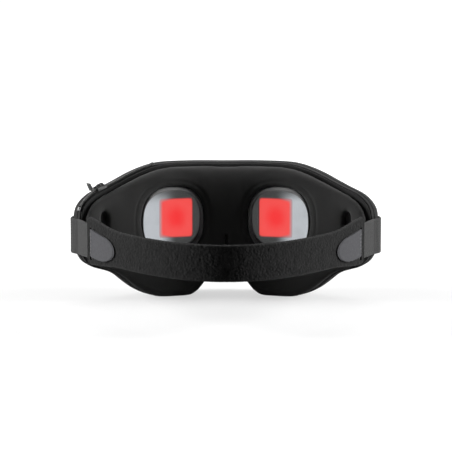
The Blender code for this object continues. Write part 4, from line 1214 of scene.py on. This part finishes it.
def strap_band():
    """A fine grid over the band: the cells in each slot are left out, and the pile is pushed out of both
    faces."""
    slots = [SLOT_S[0], SLOT_S[1], STRAP_LENGTH - SLOT_S[1], STRAP_LENGTH - SLOT_S[0]]
    s = np.unique(np.round(np.concatenate([np.linspace(0.0, STRAP_LENGTH, 500), slots]), 4))
    low, high = strap_heights(s)
    slot_low, slot_high = ((z - STRAP_END_Z[0]) / (STRAP_END_Z[1] - STRAP_END_Z[0]) for z in SLOT_Z)
    q = np.unique(np.concatenate([np.linspace(0.0, 1.0, 49), [slot_low, slot_high]]))
    z = low[:, None] + (high - low)[:, None] * q
    s = np.broadcast_to(s[:, None], z.shape)
    edge = np.minimum(np.minimum(z - low[:, None], high[:, None] - z), np.minimum(s, STRAP_LENGTH - s))
    middle_s = 0.5 * (s[:-1, :-1] + s[1:, 1:])
    middle_q = 0.5 * (q[:-1] + q[1:])[None, :]
    from_end = np.minimum(middle_s, STRAP_LENGTH - middle_s)
    in_slot = (from_end > SLOT_S[0]) & (from_end < SLOT_S[1]) & (middle_q > slot_low) & (middle_q < slot_high)
    body = STRAP_THICK / 2 * rounded(edge, 0.8)
    bound = bump(edge - 0.9, 0.7)
    tufts = (1.0 - bound) * ease(edge / 1.6)
    outer = body - 0.12 + 0.12 * bound + 0.17 * tufts * matted(s, z, 3, 0.9, 5.0)
    inner = body - 0.12 + 0.12 * bound + 0.1 * tufts * matted(s, z, 4, 1.2, 6.0)
    shape = slab(ribbon(STRAP_PLAN, s, outer, z), ribbon(STRAP_PLAN, s, -inner, z), ~in_slot)
    return shape, flat_grid(s, z)[shape[2]], ease(1.4 - edge).ravel()[shape[2]]


band, band_flat, band_edge = strap_band()
strap = piece("strap_band", band, "strap", strap_pile, flat=band_flat, replaces=["head_strap"])
keep_value(strap.data, "edge", "FLOAT", band_edge)

# %% Picot loops along the strap's edges
picot_s = np.arange(12.0, STRAP_LENGTH - 12.0, 1.15)
picot_low, picot_high = strap_heights(picot_s)


def picot(width, height, thread, rings=7, sides=4):
    """A half loop of yarn: its middle line is half an ellipse in x and z, with a round thread."""
    t = np.linspace(0.0, math.pi, rings)[:, None]
    turn = np.arange(sides)[None, :] * 2 * math.pi / sides
    x = np.cos(t) * (width / 2 + thread / 2 * np.cos(turn))
    z = np.sin(t) * (height + thread / 2 * np.cos(turn)) - 0.1
    y = np.broadcast_to(thread / 2 * np.sin(turn), x.shape)
    return skin(np.stack([x, y, z], axis=-1) * MM)


def picots(heights, way, seed):
    """Loops at every stitch of one edge, a little uneven."""
    draw = np.random.default_rng(seed)
    spread = draw.uniform(-0.25, 0.25, len(picot_s))
    seats = ribbon(STRAP_PLAN, picot_s, spread, heights - way * 0.15)
    after, before = (ribbon(STRAP_PLAN, picot_s + step, spread, heights) for step in (0.3, -0.3))
    return repeat(*picot(0.8, 0.42, 0.26), seats, after - before, np.tile([0.0, 0.0, way], (len(seats), 1)))


piece("strap_picots", gather(picots(picot_high, 1.0, 11), picots(picot_low, -1.0, 12)), "strap", thread_black)

# %% [markdown]
# ## Webbing
# Grey ribbed webbing is sewn to the shell's front, runs round the temple and passes through the strap's slot.
# It crosses the line where the strap swings, and is made as one piece on no body.

# %% Webbing round the temples
WEB_THICK, WEB_Z, WEB_MIDDLE_Z, GAP = 1.5, (36.0, 61.0), 48.5, 0.35
WEB_SLOT_Z = (37.4, 59.0)  # it bunches where it passes the strap's slot
SWING_Y = -56.0


def web_curve():
    """Plan curve of the right webbing: over the shell's skin to its rim, a sweep to the bar, and into
    the slot."""
    edge_u = 111.5 + growth(111.5, WEB_MIDDLE_Z)
    u, w = np.array([(80.0, COVER_FRONT_W), (92.0, COVER_FRONT_W), (edge_u - 7.5, COVER_FRONT_W),
                     (edge_u - 4.6, 15.5), (edge_u - 2.0, 13.0), (edge_u - 0.5, 9.6), (edge_u, 6.0),
                     (edge_u, 1.0), (edge_u, -3.0)]).T
    line = catmull(bend_cover(u, w, WEB_MIDDLE_Z)[:, :2] / MM - (0.0, MASK_Y), 4)
    ahead = np.gradient(line, axis=0)
    ahead /= np.linalg.norm(ahead, axis=1, keepdims=True)
    over = line + np.stack([-ahead[:, 1], ahead[:, 0]], axis=1) * (WEB_THICK / 2 + GAP + 0.35)
    behind = -(STRAP_THICK / 2 + GAP + WEB_THICK / 2)
    slot_s = sum(SLOT_S) / 2
    stops = ribbon(STRAP_PLAN, np.array([0.0, slot_s - 1.4, slot_s - 0.15, slot_s]),
                   np.array([behind, behind - 0.1, behind + 0.9, 0.5]), 0.0)[:, :2] / MM - (0.0, MASK_Y)
    last, first = over[-1], stops[0]
    sweep = catmull(np.vstack([last, (last * 2 + first) / 3, (last + first * 2) / 3, stops]), 5)
    return catmull(np.vstack([over[:-1:2], sweep[::2], sweep[-1:]]), 4)


def webbing(side):
    """A ribbed band with thicker edges: n is half the thickness plus a small sine of the length."""
    s, q = np.meshgrid(np.arange(6.5, WEB_LENGTH, 0.33), np.linspace(-1.0, 1.0, 41), indexing="ij")
    free = run_length(WEB_PLAN)[np.argmax(WEB_PLAN[:, 1] <= SWING_Y + 4.5)]
    bunched = np.clip((s - free) / (WEB_LENGTH - free), 0.0, 1.0)
    low = WEB_Z[0] + (WEB_SLOT_Z[0] - WEB_Z[0]) * bunched
    high = WEB_Z[1] + (WEB_SLOT_Z[1] - WEB_Z[1]) * bunched
    z = (low + high) / 2 + q * (high - low) / 2
    edge = 12.0 * (1.0 - np.abs(q))
    rib = 0.07 * np.sin(s * 2 * math.pi / RIB_PITCH) * ease(edge / 1.2)
    half = (WEB_THICK / 2 - 0.05) * rounded(edge, 0.6) + 0.05 * bump(edge - 0.9, 0.5)
    shape = slab(*(mirrored(ribbon(WEB_PLAN, s, n, z), side) for n in (rib + half, rib - half)))
    return shape, flat_grid(s, z)[shape[2]]


def rounded_sheet(s0, s1, z0, z1, corner, step):
    """A grid over a rounded rectangle, and how far each point lies from its edge."""
    s = np.linspace(s0, s1, int((s1 - s0) / step) + 2)
    half = (z1 - z0) / 2 - end_rounding(s - s0, s1 - s0, corner)
    q = np.linspace(-1.0, 1.0, int((z1 - z0) / step) + 2)
    z = (z0 + z1) / 2 + half[:, None] * q
    s = np.broadcast_to(s[:, None], z.shape)
    edge = np.minimum(np.minimum(s - s0, s1 - s), half[:, None] * (1.0 - np.abs(q)))
    return s, z, edge


def sheet_piece(name, plan, grids, low, thick, side, body, finish, replaces, radius=0.6, wave=0.0):
    """A thin rounded sheet lying on a plan curve, from n = low outward."""
    s, z, edge = grids
    top = low + thick * rounded(edge, radius) + wave * matted(s, z, 21, 1.5, 8.0) * ease(edge)
    under = low + thick * (1.0 - rounded(edge, radius)) * 0.5
    shape = slab(mirrored(ribbon(plan, s, top, z), side), mirrored(ribbon(plan, s, under, z), side))
    return piece(name, shape, body, finish, flat=flat_grid(s, z)[shape[2]], replaces=replaces)


def seam_on(plan, s, n, z, side):
    """Stitches along a line of (s, n, z) on a plan curve."""
    fine = np.linspace(0, len(s) - 1, 12 * len(s))
    s, n, z = (np.interp(fine, np.arange(len(s)), np.broadcast_to(value, len(s))) for value in (s, n, z))
    line = mirrored(ribbon(plan, s, n, z), side)
    out = mirrored(ribbon(plan, s, n + 1.0, z) - ribbon(plan, s, n, z), side)
    return stitched(line, out / MM, 2.5, 1.9, 0.45)


BOX_STITCH = (7.6, 18.4, 36.8, 61.2)  # a box and its two diagonals, sewn through the patch
WEB_PLAN = web_curve()
WEB_LENGTH = run_length(WEB_PLAN)[-1]
for name, side in SIDES:
    shape, flat = webbing(side)
    web = piece(f"webbing_run_{name}", shape, None, grey_webbing, flat=flat,
                replaces=[f"webbing_{name}", f"webbing_anchor_{name}"])
    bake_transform(web)
    low = WEB_THICK / 2 + GAP
    patch = rounded_sheet(6.0, 20.0, 34.0, 63.0, 2.0, 0.5)
    sheet_piece(f"anchor_cloth_{name}", WEB_PLAN, patch, low - 0.25, 1.15, side, "mask", patch_cloth,
                [f"anchor_patch_{name}"], wave=0.05)
    top = low + 0.95
    s0, s1, z0, z1 = BOX_STITCH
    paths = (((s0, s1, s1, s0, s0, s1), (z0, z0, z1, z1, z0, z1)), ((s0, s1), (z1, z0)))
    piece(f"anchor_stitches_{name}", gather(*(seam_on(WEB_PLAN, s, top, z, side) for s, z in paths)), "mask",
          thread_grey)


# %% Hook tabs
def tab_grids():
    """A D: the rows run from the fold to the nose, each as long as its height's place on half an ellipse
    allows."""
    start, length, half = sum(SLOT_S) / 2 + 1.8, 31.0, 9.3
    a, t = np.meshgrid(np.linspace(0.0, 1.0, 49), np.linspace(-math.pi / 2, math.pi / 2, 45), indexing="ij")
    reach = length * (0.42 + 0.58 * np.cos(t))
    s = start + a * reach
    z = (1.0 - a) * (49.55 + 9.65 * np.sin(t)) + a * (47.75 + 8.95 * np.sin(t))
    across = half * (1.0 - np.abs(np.sin(t))) + 2.0 * a * (1 - a)
    return s, z, np.minimum(np.minimum((1.0 - a) * reach, across), 2.0 + s - start)


TAB_LOW = STRAP_THICK / 2 + GAP
for name, side in SIDES:
    sheet_piece(f"tab_{name}", STRAP_PLAN, tab_grids(), TAB_LOW, 1.3, side, f"{name}_tab", hook_grey,
                [f"hook_tab_{name}"], radius=0.9, wave=0.05)
    line = np.linspace(41.6, 57.4, 6)
    piece(f"tab_stitches_{name}", seam_on(STRAP_PLAN, np.full(6, 9.4), TAB_LOW + 1.32, line, side),
          f"{name}_tab", thread_grey)
print("strap and webbing made;", round(float(WEB_LENGTH)), "mm of webbing a side")


# %% [markdown]
# ## Buttons and the pod
# Round parts are turned: a profile of radius and w, carried round a circle. The two buttons get a shallow
# dish for a fingertip and a plain raised mark each.

# %% Turned parts
def turned(profile, put, count=48):
    """A closed turned form: rings of the profile's radii at its w."""
    return skin(raised([(oval(0.0, 0.0, radius, radius, 2.0, count), w) for radius, w in profile], put))


def ring_mark(put, radius, w, start, sweep):
    """An open ring of raised plastic: a small round section carried along an arc."""
    t = np.linspace(start, start + sweep, 40)[:, None]
    turn = np.arange(8)[None, :] * math.pi / 4
    reach = radius + 0.28 * np.cos(turn)
    return skin(put(reach * np.cos(t), w + 0.16 * np.sin(turn), reach * np.sin(t)))


def bar_mark(put, x0, z0, x1, z1, w):
    """A straight raised bar with the same section."""
    t = np.linspace(0.0, 1.0, 8)[:, None]
    turn = np.arange(8)[None, :] * math.pi / 4
    swell = 0.28 * np.sin(math.pi * (0.12 + 0.76 * t)) ** 0.4
    length = math.hypot(x1 - x0, z1 - z0)
    x = x0 + (x1 - x0) * t - (z1 - z0) / length * swell * np.cos(turn)
    z = z0 + (z1 - z0) * t + (x1 - x0) / length * swell * np.cos(turn)
    return skin(put(x, w + 0.16 * np.sin(turn), z))


BUTTON_TOP_W = 23.4
CAP = ((0.3, 20.0), (5.9, 20.0), (5.9, 20.6), (5.0, 20.62), (4.95, 20.9), (4.95, 22.8), (4.85, 23.15),
       (4.6, 23.36), (4.3, BUTTON_TOP_W), (3.9, BUTTON_TOP_W - 0.04), (2.8, BUTTON_TOP_W - 0.22),
       (1.4, BUTTON_TOP_W - 0.34), (0.2, BUTTON_TOP_W - 0.36))
for name, v in (("power", 66.3), ("mode", 53.0)):
    put = placed(0.0, v)
    piece(f"{name}_cap", turned(CAP, put), f"{name}_button", button_plastic, crease=40,
          replaces=[f"{name}_button"])
    w = BUTTON_TOP_W - 0.22
    if name == "power":
        marks = gather(ring_mark(put, 1.9, w, math.radians(125.0), math.radians(290.0)),
                       bar_mark(put, 0.0, 0.9, 0.0, 2.7, w))
    else:
        marks = gather(*(bar_mark(put, x, -1.5, x, 1.5, w) for x in (-1.6, 0.0, 1.6)))
    piece(f"{name}_mark", marks, f"{name}_button", mark_grey)
put = placed(13.0, 61.0)
STATUS = ((0.1, 19.3), (1.2, 19.3), (1.2, 22.2), (1.05, 22.38), (0.1, 22.42))
piece("status_lens", turned(STATUS, put, 24), "mask", white_plastic, crease=40, replaces=["status_light"])

# %% [markdown]
# ## Parts left as the frame has them
# The panels, boards, motors and cables inside keep the frame's own meshes. They only need real finishes.

# %% Finishes for the inner parts
INNER = (("inner_panel", chassis_plastic), ("chassis", chassis_plastic), ("light_board", circuit_board),
         ("light_screw", bright_metal), ("light_plug", white_plastic), ("main_board", circuit_board),
         ("battery", battery_foil), ("pod_lead", ribbon_cable), ("light_ribbon", ribbon_cable),
         ("motor_ribbon", ribbon_cable), ("motor_weight", dark_metal), ("motor_", bright_metal),
         ("switch_board", circuit_board), ("power_switch", bright_metal), ("mode_switch", bright_metal),
         ("port_tongue", black_plastic))
for node_name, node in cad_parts.items():
    finish = next((finish for start, finish in INNER if node_name.startswith(start)), None)
    if finish and not node.hide_render:
        node.data.materials.clear()
        node.data.materials.append(finish)
        print("finished", node_name)
